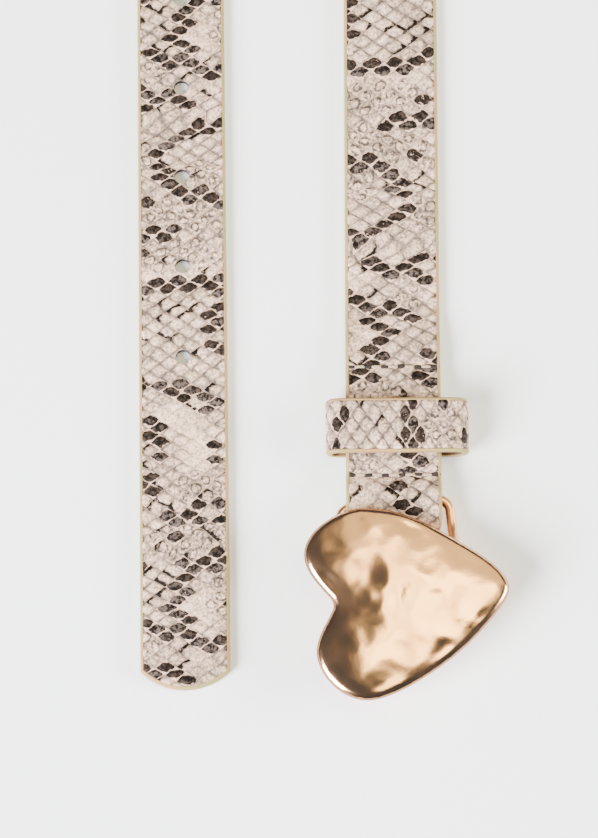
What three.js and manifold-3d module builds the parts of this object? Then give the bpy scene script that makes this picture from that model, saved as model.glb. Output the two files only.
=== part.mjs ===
// A snakeskin belt lying on a surface: a strap with a folded buckle end, a keeper loop
// and a hammered heart plate buckle on a wire frame.
// Millimetres, +Z up. The origin is under the middle of the belt, on the surface it lies on.
// +Y runs from the buckle and the tip to the far bend of the waist loop.
import * as THREE from 'three';
import { mergeVertices } from 'three/addons/utils/BufferGeometryUtils.js';
import Module from 'manifold-3d';

const wasm = await Module();
wasm.setup();

// Where the middle of the whole belt lies, measured from the middle of its buckle end.
const BELT_MIDDLE = { x: 5.5, y: 178.3 };

const STRAP = {
  tipWidth: 23.5,
  buckleWidth: 25.2,
  thickness: 2.4,
  flapThickness: 1.3,
  faceBevel: 0.9,
  backBevel: 0.25,
  rimShare: 0.4,
  // From the tip to the bar, along the strap's back.
  length: 993,
};

// The two legs lie side by side and open slightly towards the far bend.
const TIP = { x: -30.1, y: -72.6, lean: THREE.MathUtils.degToRad(0.37) };
const BAR = { x: 24.8, y: -23.8, z: 3.05, lean: THREE.MathUtils.degToRad(-0.32) };

// Distances from the tip where the tip leg starts to turn on its edge, and how long it takes.
const TWIST = { flatTipLeg: 215, flatBuckleLeg: 180, length: 105 };

// The width changes in the stretch between the two visible legs.
const TAPER = { start: 215, end: 780 };

// How many steps each kind of stretch is drawn in.
const STEPS = { straight: 2, twist: 14, bend: 24, raised: 44, fold: 12 };

const TIP_ROUND = { depth: 4.9, halfWidth: 11.75, arcSteps: 16 };
const HOLES = { count: 5, pitch: 25, fromTip: 89.3, radius: 2.0, sides: 24 };

// How far a cutting shape reaches past what it cuts.
const CUT_MARGIN = 2;

// The height of the strap's back above the surface, against the distance before the bar.
const BUCKLE_END = [
  { run: 62.0, height: 0.0 },
  { run: 56.0, height: 0.0 },
  { run: 50.0, height: 0.25 },
  { run: 42.0, height: 1.75 },
  { run: 36.3, height: 1.9 },
  { run: 32.0, height: 2.75 },
  { run: 27.6, height: 3.6 },
  { run: 23.0, height: 3.75 },
  { run: 16.0, height: 3.75 },
  { run: 11.6, height: 3.6 },
  { run: 7.0, height: 2.75 },
  { run: 1.8, height: 4.85 },
  { run: -3.5, height: 4.95 },
];

// The end turns down round the bar and runs back under the strap as a slightly narrower flap.
const FLAP = { length: 43.9, top: 1.3, width: 24.0 };

const KEEPER = {
  width: 37.8,
  height: 7.8,
  wall: 1.7,
  band: 14.0,
  x: 25.9,
  y: -3.9,
  bottom: 1.6,
  arcSteps: 14,
};

const FRAME = {
  wire: 1.3,
  halfWidth: 14.6,
  corner: 3.2,
  turn: THREE.MathUtils.degToRad(4.9),
  flatSide: 8.0,
  reach: 17.5,
  sides: 10,
  steps: 72,
};

const PLATE = {
  back: 7.6,
  thickness: 3.0,
  rimInset: 2.2,
  rimHeight: 1.2,
  rimSteps: 4,
  outlineSteps: 12,
};

// How far the wire's ends and the peg reach into the plate.
const SOLDERED = 0.8;


const PEG = { radius: 1.7, fromBar: 42.0, sides: 20 };

// The plate's outline, clockwise from the crown of the lobe that is nearest to the strap.
// Each knot has the heading of the outline there, in degrees from +X, and its handles' lengths.
const HEART = [
  { x: 17.8, y: -26.2, heading: -2, before: 7.5, after: 8.5 },
  { x: 40.4, y: -34.6, heading: -32, before: 8.0, after: 6.2 },
  { x: 54.4, y: -47.9, heading: -90, before: 5.4, after: 3.6 },
  { x: 39.6, y: -65.8, heading: -142, before: 6.5, after: 6.0 },
  { x: 17.2, y: -77.0, heading: 180, before: 6.8, after: 6.6 },
  { x: 4.1, y: -64.4, heading: 92, before: 6.0, after: 4.5 },
  { x: 8.7, y: -52.2, heading: 76, before: 2.6, after: 0.0 },
  { x: 8.2, y: -50.4, heading: 132, before: 0.0, after: 4.5 },
  { x: 1.0, y: -38.3, heading: 88, before: 4.5, after: 6.5 },
];

const leather = new THREE.MeshStandardMaterial({ color: 0xd8cabf, roughness: 0.55, metalness: 0 });
const roseGold = new THREE.MeshStandardMaterial({ color: 0xe0b896, roughness: 0.3, metalness: 1 });

// Joining and cutting

function toSolid(geometry) {
  const plain = geometry.index ? geometry.toNonIndexed() : geometry.clone();
  plain.deleteAttribute('normal');
  plain.deleteAttribute('uv');
  const merged = mergeVertices(plain, 1e-4);
  return new wasm.Manifold(new wasm.Mesh({
    numProp: 3,
    vertProperties: new Float32Array(merged.attributes.position.array),
    triVerts: new Uint32Array(merged.index.array),
  }));
}

function toGeometry(solid) {
  const mesh = solid.getMesh();
  const geometry = new THREE.BufferGeometry();
  geometry.setAttribute('position', new THREE.BufferAttribute(mesh.vertProperties, 3));
  geometry.setIndex(new THREE.BufferAttribute(mesh.triVerts, 1));
  geometry.computeVertexNormals();
  return geometry;
}

function namedMesh(name, geometry, material) {
  const mesh = new THREE.Mesh(geometry, material);
  mesh.name = name;
  return mesh;
}

// The strap's route

function headingVector(heading) {
  return new THREE.Vector3(Math.cos(heading), Math.sin(heading), 0);
}

const tipHeading = Math.PI / 2 + TIP.lean;
const buckleHeading = -Math.PI / 2 + BAR.lean;
const tipPoint = new THREE.Vector3(TIP.x, TIP.y, 0);
const barPoint = new THREE.Vector3(BAR.x, BAR.y, 0);

// Both legs reach as far as it takes for the whole strap to have its length.
const FITTING_ROUNDS = 20;

function planLegs() {
  const turn = tipHeading - buckleHeading;
  let leg = STRAP.length / 2;
  let radius = 0;
  for (let round = 0; round < FITTING_ROUNDS; round++) {
    const tipLegEnd = tipPoint.clone().addScaledVector(headingVector(tipHeading), leg);
    const barBack = (tipLegEnd.y - BAR.y) / Math.cos(BAR.lean);
    const buckleLegStart = barPoint.clone().addScaledVector(headingVector(buckleHeading), -barBack);
    radius = tipLegEnd.distanceTo(buckleLegStart) / 2;
    leg += (STRAP.length - leg - barBack - radius * turn) / 2;
  }
  return { tipLeg: leg, radius, turn, buckleLeg: STRAP.length - leg - radius * turn };
}

const plan = planLegs();

function widthAt(fromTip) {
  const share = THREE.MathUtils.smoothstep(fromTip, TAPER.start, TAPER.end);
  return THREE.MathUtils.lerp(STRAP.tipWidth, STRAP.buckleWidth, share);
}

// One place on the strap: the middle of its back, its left edge's and its face's directions.
function placeOnStrap({ point, heading, pitch = 0, twist = 0, width, thickness = STRAP.thickness }) {
  const along = headingVector(heading).multiplyScalar(Math.cos(pitch));
  along.z = Math.sin(pitch);
  const flatLeft = headingVector(heading + Math.PI / 2);
  const flatFace = new THREE.Vector3().crossVectors(along, flatLeft);
  const left = flatLeft.clone().multiplyScalar(Math.cos(twist)).addScaledVector(flatFace, -Math.sin(twist));
  const face = flatFace.clone().multiplyScalar(Math.cos(twist)).addScaledVector(flatLeft, Math.sin(twist));
  const raised = point.clone();
  raised.z += Math.sin(twist) * width / 2;
  return { point: raised, left, face, width, thickness };
}

function twistOn(distance, start) {
  return THREE.MathUtils.smoothstep(distance, start, start + TWIST.length) * Math.PI / 2;
}

function spread(from, to, count) {
  return Array.from({ length: count }, (_, i) => from + (to - from) * i / count);
}

function tipLegPlaces() {
  const flatEnd = TWIST.flatTipLeg;
  const twistEnd = flatEnd + TWIST.length;
  const distances = [
    ...spread(0, flatEnd, STEPS.straight),
    ...spread(flatEnd, twistEnd, STEPS.twist),
    ...spread(twistEnd, plan.tipLeg, STEPS.straight),
  ];
  return distances.map((distance) => placeOnStrap({
    point: tipPoint.clone().addScaledVector(headingVector(tipHeading), distance),
    heading: tipHeading,
    twist: twistOn(distance, flatEnd),
    width: widthAt(distance),
  }));
}

function bendPlaces() {
  const centre = tipPoint.clone()
    .addScaledVector(headingVector(tipHeading), plan.tipLeg)
    .addScaledVector(headingVector(tipHeading - Math.PI / 2), plan.radius);
  return spread(0, plan.turn, STEPS.bend).map((turned) => placeOnStrap({
    point: centre.clone().addScaledVector(headingVector(tipHeading - turned + Math.PI / 2), plan.radius),
    heading: tipHeading - turned,
    twist: Math.PI / 2,
    width: widthAt(plan.tipLeg + turned * plan.radius),
  }));
}

function buckleLegPlaces() {
  const flatStart = TWIST.flatBuckleLeg;
  const twistStart = flatStart + TWIST.length;
  const runs = [
    ...spread(plan.buckleLeg, twistStart, STEPS.straight),
    ...spread(twistStart, flatStart, STEPS.twist),
    ...spread(flatStart, BUCKLE_END[0].run, STEPS.straight),
  ];
  return runs.map((run) => placeOnStrap({
    point: barPoint.clone().addScaledVector(headingVector(buckleHeading), -run),
    heading: buckleHeading,
    twist: twistOn(run, flatStart),
    width: widthAt(STRAP.length - run),
  }));
}

// The raised stretch over the flap, the keeper and the bar.
function raisedPlaces() {
  const profile = new THREE.CatmullRomCurve3(
    BUCKLE_END.map(({ run, height }) => new THREE.Vector3(-run, 0, height)),
  );
  return spread(0, 1, STEPS.raised).map((share) => {
    const spot = profile.getPointAt(share);
    const slope = profile.getTangentAt(share);
    return placeOnStrap({
      point: barPoint.clone().addScaledVector(headingVector(buckleHeading), spot.x).setZ(Math.max(spot.z, 0)),
      heading: buckleHeading,
      pitch: Math.atan2(slope.z, slope.x),
      width: STRAP.buckleWidth,
    });
  });
}

function foldPlaces() {
  const last = BUCKLE_END.at(-1);
  const radius = (last.height - FLAP.top) / 2;
  return spread(0, Math.PI, STEPS.fold).map((turned) => placeOnStrap({
    point: barPoint.clone()
      .addScaledVector(headingVector(buckleHeading), -last.run + radius * Math.sin(turned))
      .setZ(FLAP.top + radius * (1 + Math.cos(turned))),
    heading: buckleHeading,
    pitch: -turned,
    width: THREE.MathUtils.lerp(STRAP.buckleWidth, FLAP.width, turned / Math.PI),
    thickness: THREE.MathUtils.lerp(STRAP.thickness, STRAP.flapThickness, turned / Math.PI),
  }));
}

function flapPlaces() {
  const start = -BUCKLE_END.at(-1).run;
  return [0, FLAP.length].map((back) => placeOnStrap({
    point: barPoint.clone().addScaledVector(headingVector(buckleHeading), start - back).setZ(FLAP.top),
    heading: buckleHeading,
    pitch: -Math.PI,
    width: FLAP.width,
    thickness: STRAP.flapThickness,
  }));
}

// A section one unit wide and one unit thick is drawn out straight, a step for each place,
// and every step is then laid on its place.
function layStrip(places) {
  const bevelAcross = STRAP.faceBevel / STRAP.buckleWidth;
  const backAcross = STRAP.backBevel / STRAP.buckleWidth;
  const section = new THREE.Shape([
    new THREE.Vector2(-0.5 + backAcross, 0),
    new THREE.Vector2(0.5 - backAcross, 0),
    new THREE.Vector2(0.5, STRAP.rimShare),
    new THREE.Vector2(0.5 - bevelAcross, 1),
    new THREE.Vector2(-0.5 + bevelAcross, 1),
    new THREE.Vector2(-0.5, STRAP.rimShare),
  ]);
  const steps = places.length - 1;
  const strip = new THREE.ExtrudeGeometry(section, { depth: steps, steps, bevelEnabled: false });
  const position = strip.attributes.position;
  for (let i = 0; i < position.count; i++) {
    const place = places[Math.round(position.getZ(i))];
    const spot = place.point.clone()
      .addScaledVector(place.left, position.getX(i) * place.width)
      .addScaledVector(place.face, position.getY(i) * place.thickness);
    position.setXYZ(i, spot.x, spot.y, spot.z);
  }
  return strip;
}

// Strap

function onTipLeg(distance, height) {
  return tipPoint.clone().addScaledVector(headingVector(tipHeading), distance).setZ(height);
}

// What the round tip leaves over of the strip's square end.
function tipOffcut() {
  const { depth, halfWidth } = TIP_ROUND;
  const radius = (halfWidth * halfWidth + depth * depth) / (2 * depth);
  const halfAngle = Math.asin(halfWidth / radius);
  const outline = new THREE.Shape();
  outline.moveTo(-halfWidth - CUT_MARGIN, -CUT_MARGIN);
  outline.lineTo(halfWidth + CUT_MARGIN, -CUT_MARGIN);
  outline.lineTo(halfWidth + CUT_MARGIN, depth);
  outline.lineTo(halfWidth, depth);
  outline.absarc(0, radius, radius, -Math.PI / 2 + halfAngle, -Math.PI / 2 - halfAngle, true);
  outline.lineTo(-halfWidth - CUT_MARGIN, depth);
  const offcut = new THREE.ExtrudeGeometry(outline, {
    depth: STRAP.thickness + 2 * CUT_MARGIN,
    bevelEnabled: false,
    curveSegments: TIP_ROUND.arcSteps,
  });
  offcut.rotateZ(TIP.lean);
  offcut.translate(TIP.x, TIP.y, -CUT_MARGIN);
  return offcut;
}

function punchAt(distance) {
  const height = STRAP.thickness + 2 * CUT_MARGIN;
  const punch = new THREE.CylinderGeometry(HOLES.radius, HOLES.radius, height, HOLES.sides);
  punch.rotateX(Math.PI / 2);
  const spot = onTipLeg(distance, STRAP.thickness / 2);
  punch.translate(spot.x, spot.y, spot.z);
  return punch;
}

function makeStrap() {
  const places = [
    ...tipLegPlaces(), ...bendPlaces(), ...buckleLegPlaces(),
    ...raisedPlaces(), ...foldPlaces(), ...flapPlaces(),
  ];
  let strap = toSolid(layStrip(places)).subtract(toSolid(tipOffcut()));
  for (let i = 0; i < HOLES.count; i++) {
    strap = strap.subtract(toSolid(punchAt(HOLES.fromTip + i * HOLES.pitch)));
  }
  return namedMesh('strap', toGeometry(strap), leather);
}

// Keeper

// A flattened loop with round ends, seen along the strap.
function loopOutline(width, height) {
  const radius = height / 2;
  const straight = width / 2 - radius;
  const outline = new THREE.Shape();
  outline.absarc(straight, 0, radius, -Math.PI / 2, Math.PI / 2, false);
  outline.absarc(-straight, 0, radius, Math.PI / 2, 3 * Math.PI / 2, false);
  outline.closePath();
  return outline;
}

function makeKeeper() {
  const { width, height, wall, band, x, y, bottom, arcSteps } = KEEPER;
  const outline = loopOutline(width, height);
  outline.holes.push(loopOutline(width - 2 * wall, height - 2 * wall));
  const loop = new THREE.ExtrudeGeometry(outline, { depth: band, bevelEnabled: false, curveSegments: arcSteps });
  loop.translate(0, 0, -band / 2);
  loop.rotateX(Math.PI / 2);
  loop.translate(x, y, bottom + height / 2);
  return namedMesh('keeper', toGeometry(toSolid(loop)), leather);
}

// Buckle

function heartOutline() {
  const outline = new THREE.Shape();
  outline.moveTo(HEART[0].x, HEART[0].y);
  HEART.forEach((knot, i) => {
    const next = HEART[(i + 1) % HEART.length];
    const leaving = headingVector(THREE.MathUtils.degToRad(knot.heading)).multiplyScalar(knot.after);
    const arriving = headingVector(THREE.MathUtils.degToRad(next.heading)).multiplyScalar(next.before);
    outline.bezierCurveTo(
      knot.x + leaving.x, knot.y + leaving.y,
      next.x - arriving.x, next.y - arriving.y,
      next.x, next.y,
    );
  });
  return outline;
}

// The edge is rolled over both ways, so the outline is widest half way up.
function makePlate() {
  const { back, thickness, rimInset, rimHeight, rimSteps, outlineSteps } = PLATE;
  const plate = new THREE.ExtrudeGeometry(heartOutline(), {
    depth: thickness - 2 * rimHeight,
    curveSegments: outlineSteps,
    bevelEnabled: true,
    bevelThickness: rimHeight,
    bevelSize: rimInset,
    bevelOffset: -rimInset,
    bevelSegments: rimSteps,
  });
  plate.translate(0, 0, back + rimHeight);
  return plate;
}

// From the buckle's own directions, along the bar and away from it, to the belt's.
function onBuckle(alongBar, fromBar, height) {
  const spot = new THREE.Vector3(BAR.x, BAR.y, height);
  spot.addScaledVector(headingVector(FRAME.turn), alongBar);
  return spot.addScaledVector(headingVector(FRAME.turn - Math.PI / 2), fromBar);
}

// One wire: up from the plate's back, down to the bar's height, along the bar and back up.
function makeFrame() {
  const { wire, halfWidth, corner, flatSide, reach, sides, steps } = FRAME;
  const soldered = PLATE.back + SOLDERED;
  const side = (sign) => [
    onBuckle(sign * halfWidth, reach, soldered),
    onBuckle(sign * halfWidth, flatSide, BAR.z),
    onBuckle(sign * halfWidth, corner, BAR.z),
    onBuckle(sign * halfWidth, 0, BAR.z),
    onBuckle(sign * (halfWidth - corner), 0, BAR.z),
  ];
  const left = side(-1);
  const right = side(1);
  const route = new THREE.CurvePath();
  route.add(new THREE.LineCurve3(left[0], left[1]));
  route.add(new THREE.LineCurve3(left[1], left[2]));
  route.add(new THREE.QuadraticBezierCurve3(left[2], left[3], left[4]));
  route.add(new THREE.LineCurve3(left[4], right[4]));
  route.add(new THREE.QuadraticBezierCurve3(right[4], right[3], right[2]));
  route.add(new THREE.LineCurve3(right[2], right[1]));
  route.add(new THREE.LineCurve3(right[1], right[0]));
  const section = new THREE.Shape();
  for (let i = 0; i < sides; i++) {
    const angle = 2 * Math.PI * i / sides;
    section[i ? 'lineTo' : 'moveTo'](wire * Math.cos(angle), wire * Math.sin(angle));
  }
  return new THREE.ExtrudeGeometry(section, { extrudePath: route, steps, bevelEnabled: false });
}

function makePeg() {
  const top = PLATE.back + SOLDERED;
  const peg = new THREE.CylinderGeometry(PEG.radius, PEG.radius, top, PEG.sides);
  peg.rotateX(Math.PI / 2);
  const spot = onBuckle(0, PEG.fromBar, top / 2);
  peg.translate(spot.x, spot.y, spot.z);
  return peg;
}

function makeBuckle() {
  const buckle = toSolid(makePlate()).add(toSolid(makeFrame())).add(toSolid(makePeg()));
  return namedMesh('buckle', toGeometry(buckle), roseGold);
}

const belt = new THREE.Group();
belt.name = 'belt';
belt.add(makeStrap(), makeKeeper(), makeBuckle());
belt.position.set(-BELT_MIDDLE.x, -BELT_MIDDLE.y, 0);

export default belt;
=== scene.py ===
"""A snakeskin belt with a heart plate buckle, dressed for its render.

The belt lies on a pale floor. Sizes are in millimetres and are named for the belt's own pieces.
A finished mesh is in metres, in the frame of the CAD model: +Z up, the floor at height zero,
+Y from the buckle and the tip towards the far bend of the waist loop.
"""

import logging
import math
import random
from dataclasses import dataclass
from enum import Enum

import bmesh
import bpy
import numpy as np
from mathutils import Matrix, Vector


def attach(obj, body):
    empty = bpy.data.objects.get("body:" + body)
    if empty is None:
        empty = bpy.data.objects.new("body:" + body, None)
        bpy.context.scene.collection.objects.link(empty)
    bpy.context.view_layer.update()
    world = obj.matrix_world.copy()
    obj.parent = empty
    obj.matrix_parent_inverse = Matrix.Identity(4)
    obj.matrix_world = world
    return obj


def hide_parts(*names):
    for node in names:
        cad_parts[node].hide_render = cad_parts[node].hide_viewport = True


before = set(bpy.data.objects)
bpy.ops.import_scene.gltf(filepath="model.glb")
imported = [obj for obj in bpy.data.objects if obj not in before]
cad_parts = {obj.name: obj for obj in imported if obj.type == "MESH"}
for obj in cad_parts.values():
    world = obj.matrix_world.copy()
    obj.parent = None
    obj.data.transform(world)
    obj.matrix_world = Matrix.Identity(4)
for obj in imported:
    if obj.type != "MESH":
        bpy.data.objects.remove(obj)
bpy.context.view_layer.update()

log = logging.getLogger("belt")

METRES = 0.001

# From the middle of the buckle end, where the places below are measured, to the frame's origin.
BELT_MIDDLE = Vector((5.5, 178.3, 0.0))
# The middle of the buckle's bar, seen from above.
BAR = (24.8, -23.8)


def linear(hex_colour: str) -> tuple[float, float, float, float]:
    """Turns a colour written as six hex digits into linear light.

    Args:
        hex_colour: The colour, such as "e8dace".

    Returns:
        Red, green, blue and an alpha of one.
    """
    shares = [int(hex_colour[i : i + 2], 16) / 255 for i in (0, 2, 4)]
    light = [s / 12.92 if s <= 0.04045 else ((s + 0.055) / 1.055) ** 2.4 for s in shares]
    return (light[0], light[1], light[2], 1.0)


def smoothstep(value: np.ndarray | float, low: float, high: float) -> np.ndarray | float:
    """Rises smoothly from 0 at low to 1 at high."""
    share = np.clip((value - low) / (high - low), 0.0, 1.0)
    return share * share * (3 - 2 * share)


class Slot(Enum):
    """The names of the record's material slots."""

    SNAKESKIN = "snakeskin"
    PAINTED_EDGE = "painted_edge"
    THREAD = "thread"
    HAMMERED_METAL = "hammered_metal"
    WIRE_METAL = "wire_metal"


class Body(Enum):
    """The bodies that the pieces ride on."""

    BELT = "belt"
    BUCKLE = "buckle"


# The numbers that each face of a skin holds for its material.
SKIN_VALUES = ("seed", "dark", "hooked", "ringed", "smooth")


# Materials


class Shader:
    """Builds the nodes of one material."""

    def __init__(self, name: str) -> None:
        """Starts a material that has only its surface shader.

        Args:
            name: The material's name.
        """
        self.material = bpy.data.materials.new(name)
        self.material.use_nodes = True
        self.nodes = self.material.node_tree.nodes
        self.links = self.material.node_tree.links
        self.surface = self.nodes["Principled BSDF"]

    def node(self, kind: str, **settings: object) -> bpy.types.Node:
        """Adds a node.

        Args:
            kind: The node's type.
            settings: Values for the node's own properties.

        Returns:
            The new node.
        """
        made = self.nodes.new(kind)
        for key, value in settings.items():
            setattr(made, key, value)
        return made

    def put(self, socket: bpy.types.NodeSocket, value: object) -> None:
        """Links an output to a socket, or sets the socket to a number or to a colour in hex digits."""
        if isinstance(value, bpy.types.NodeSocket):
            self.links.new(value, socket)
        else:
            socket.default_value = linear(value) if isinstance(value, str) else value

    def math(
        self, operation: str, first: object, second: object = 0.0, clamp: bool = False
    ) -> bpy.types.NodeSocket:
        """Adds a sum.

        Args:
            operation: What the node does, such as "MULTIPLY".
            first: Its first value or output.
            second: Its second value or output.
            clamp: Whether the result is held between 0 and 1.

        Returns:
            The result's output.
        """
        made = self.node("ShaderNodeMath", operation=operation, use_clamp=clamp)
        self.put(made.inputs[0], first)
        self.put(made.inputs[1], second)
        return made.outputs[0]

    def step(
        self, value: object, low: float, high: float, start: float = 0.0, end: float = 1.0
    ) -> bpy.types.NodeSocket:
        """Maps a value smoothly from low and high to start and end.

        Args:
            value: The output to read.
            low: Where the change starts.
            high: Where the change ends.
            start: The result up to low.
            end: The result from high on.

        Returns:
            The result's output.
        """
        made = self.node("ShaderNodeMapRange", interpolation_type="SMOOTHSTEP")
        for socket, number in zip(made.inputs[:5], (value, low, high, start, end)):
            self.put(socket, number)
        return made.outputs[0]

    def mix(self, share: object, first: object, second: object) -> bpy.types.NodeSocket:
        """Mixes two colours.

        Args:
            share: How much of the second colour there is.
            first: The colour or output at 0.
            second: The colour or output at 1.

        Returns:
            The colour's output.
        """
        made = self.node("ShaderNodeMix", data_type="RGBA")
        for socket, value in zip((0, 6, 7), (share, first, second)):
            self.put(made.inputs[socket], value)
        return made.outputs[2]

    def place(self, scale: tuple[float, float, float] = (1.0, 1.0, 1.0)) -> bpy.types.NodeSocket:
        """Gives the place on the object, stretched by a scale."""
        source = self.node("ShaderNodeTexCoord")
        mapping = self.node("ShaderNodeMapping")
        mapping.inputs["Scale"].default_value = scale
        self.links.new(source.outputs["Object"], mapping.inputs["Vector"])
        return mapping.outputs[0]

    def texture(
        self, kind: str, where: object, inputs: dict[str, float], **settings: object
    ) -> bpy.types.Node:
        """Adds a texture.

        Args:
            kind: The texture's kind, as its node's type ends.
            where: The place to read it at.
            inputs: Values for its other sockets.
            settings: Values for the node's own properties.

        Returns:
            The new node.
        """
        made = self.node("ShaderNodeTex" + kind, **settings)
        self.put(made.inputs["Vector"], where)
        for name, value in inputs.items():
            made.inputs[name].default_value = value
        return made

    def noise(
        self, where: object, per_metre: float, detail: float = 3.0, rough: float = 0.55
    ) -> bpy.types.NodeSocket:
        """Gives a soft noise.

        Args:
            where: The place to read it at.
            per_metre: How many lumps there are in a metre.
            detail: How many finer layers it has.
            rough: How strong the finer layers are.

        Returns:
            The noise's output, about 0.5 on average.
        """
        inputs = {"Scale": per_metre, "Detail": detail, "Roughness": rough}
        return self.texture("Noise", where, inputs).outputs[0]

    def attribute(self, name: str) -> bpy.types.NodeSocket:
        """Gives a number that the mesh holds."""
        return self.node("ShaderNodeAttribute", attribute_name=name).outputs["Fac"]

    def times(self, first: object, second: object) -> bpy.types.NodeSocket:
        """Multiplies two shares, held between 0 and 1."""
        return self.math("MULTIPLY", first, second, True)

    def without(self, share: object, part: float = 1.0) -> bpy.types.NodeSocket:
        """Gives what is left of one when a part of a share is taken away."""
        return self.math("SUBTRACT", 1.0, self.math("MULTIPLY", share, part), True)

    def oval(self, sideways: object, lengthways: object, power: float) -> bpy.types.NodeSocket:
        """Gives the distance from the middle, in a measure between a diamond's and a circle's."""
        across = self.math("POWER", self.math("ABSOLUTE", sideways), power)
        along = self.math("POWER", self.math("ABSOLUTE", lengthways), power)
        return self.math("POWER", self.math("ADD", across, along), 1 / power)

    def cover(
        self, colour: object, roughness: object, others: dict[str, float] | None = None
    ) -> None:
        """Sets the surface's colour, its roughness and other values of its shader.

        Args:
            colour: The colour or output.
            roughness: The number or output.
            others: Plain values for other sockets, by their names.
        """
        self.put(self.surface.inputs["Base Color"], colour)
        self.put(self.surface.inputs["Roughness"], roughness)
        for name, value in (others or {}).items():
            self.surface.inputs[name].default_value = value

    def bump(self, height: object, depth_mm: float, strength: float = 1.0) -> None:
        """Lays a fine relief on the surface, on top of one that is there already."""
        made = self.node("ShaderNodeBump")
        made.inputs["Strength"].default_value = strength
        made.inputs["Distance"].default_value = depth_mm * METRES
        self.put(made.inputs["Height"], height)
        normal = self.surface.inputs["Normal"]
        if normal.is_linked:
            self.links.new(normal.links[0].from_socket, made.inputs["Normal"])
        self.links.new(made.outputs[0], normal)


@dataclass(frozen=True)
class Finish:
    """The finish of a surface. Each kind lays its own nodes."""

    name: str

    def lay(self, s: Shader) -> None:
        """Lays the nodes of the finish."""
        raise NotImplementedError

    def make(self) -> bpy.types.Material:
        """Makes the material."""
        s = Shader(self.name)
        self.lay(s)
        return s.material


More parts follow.
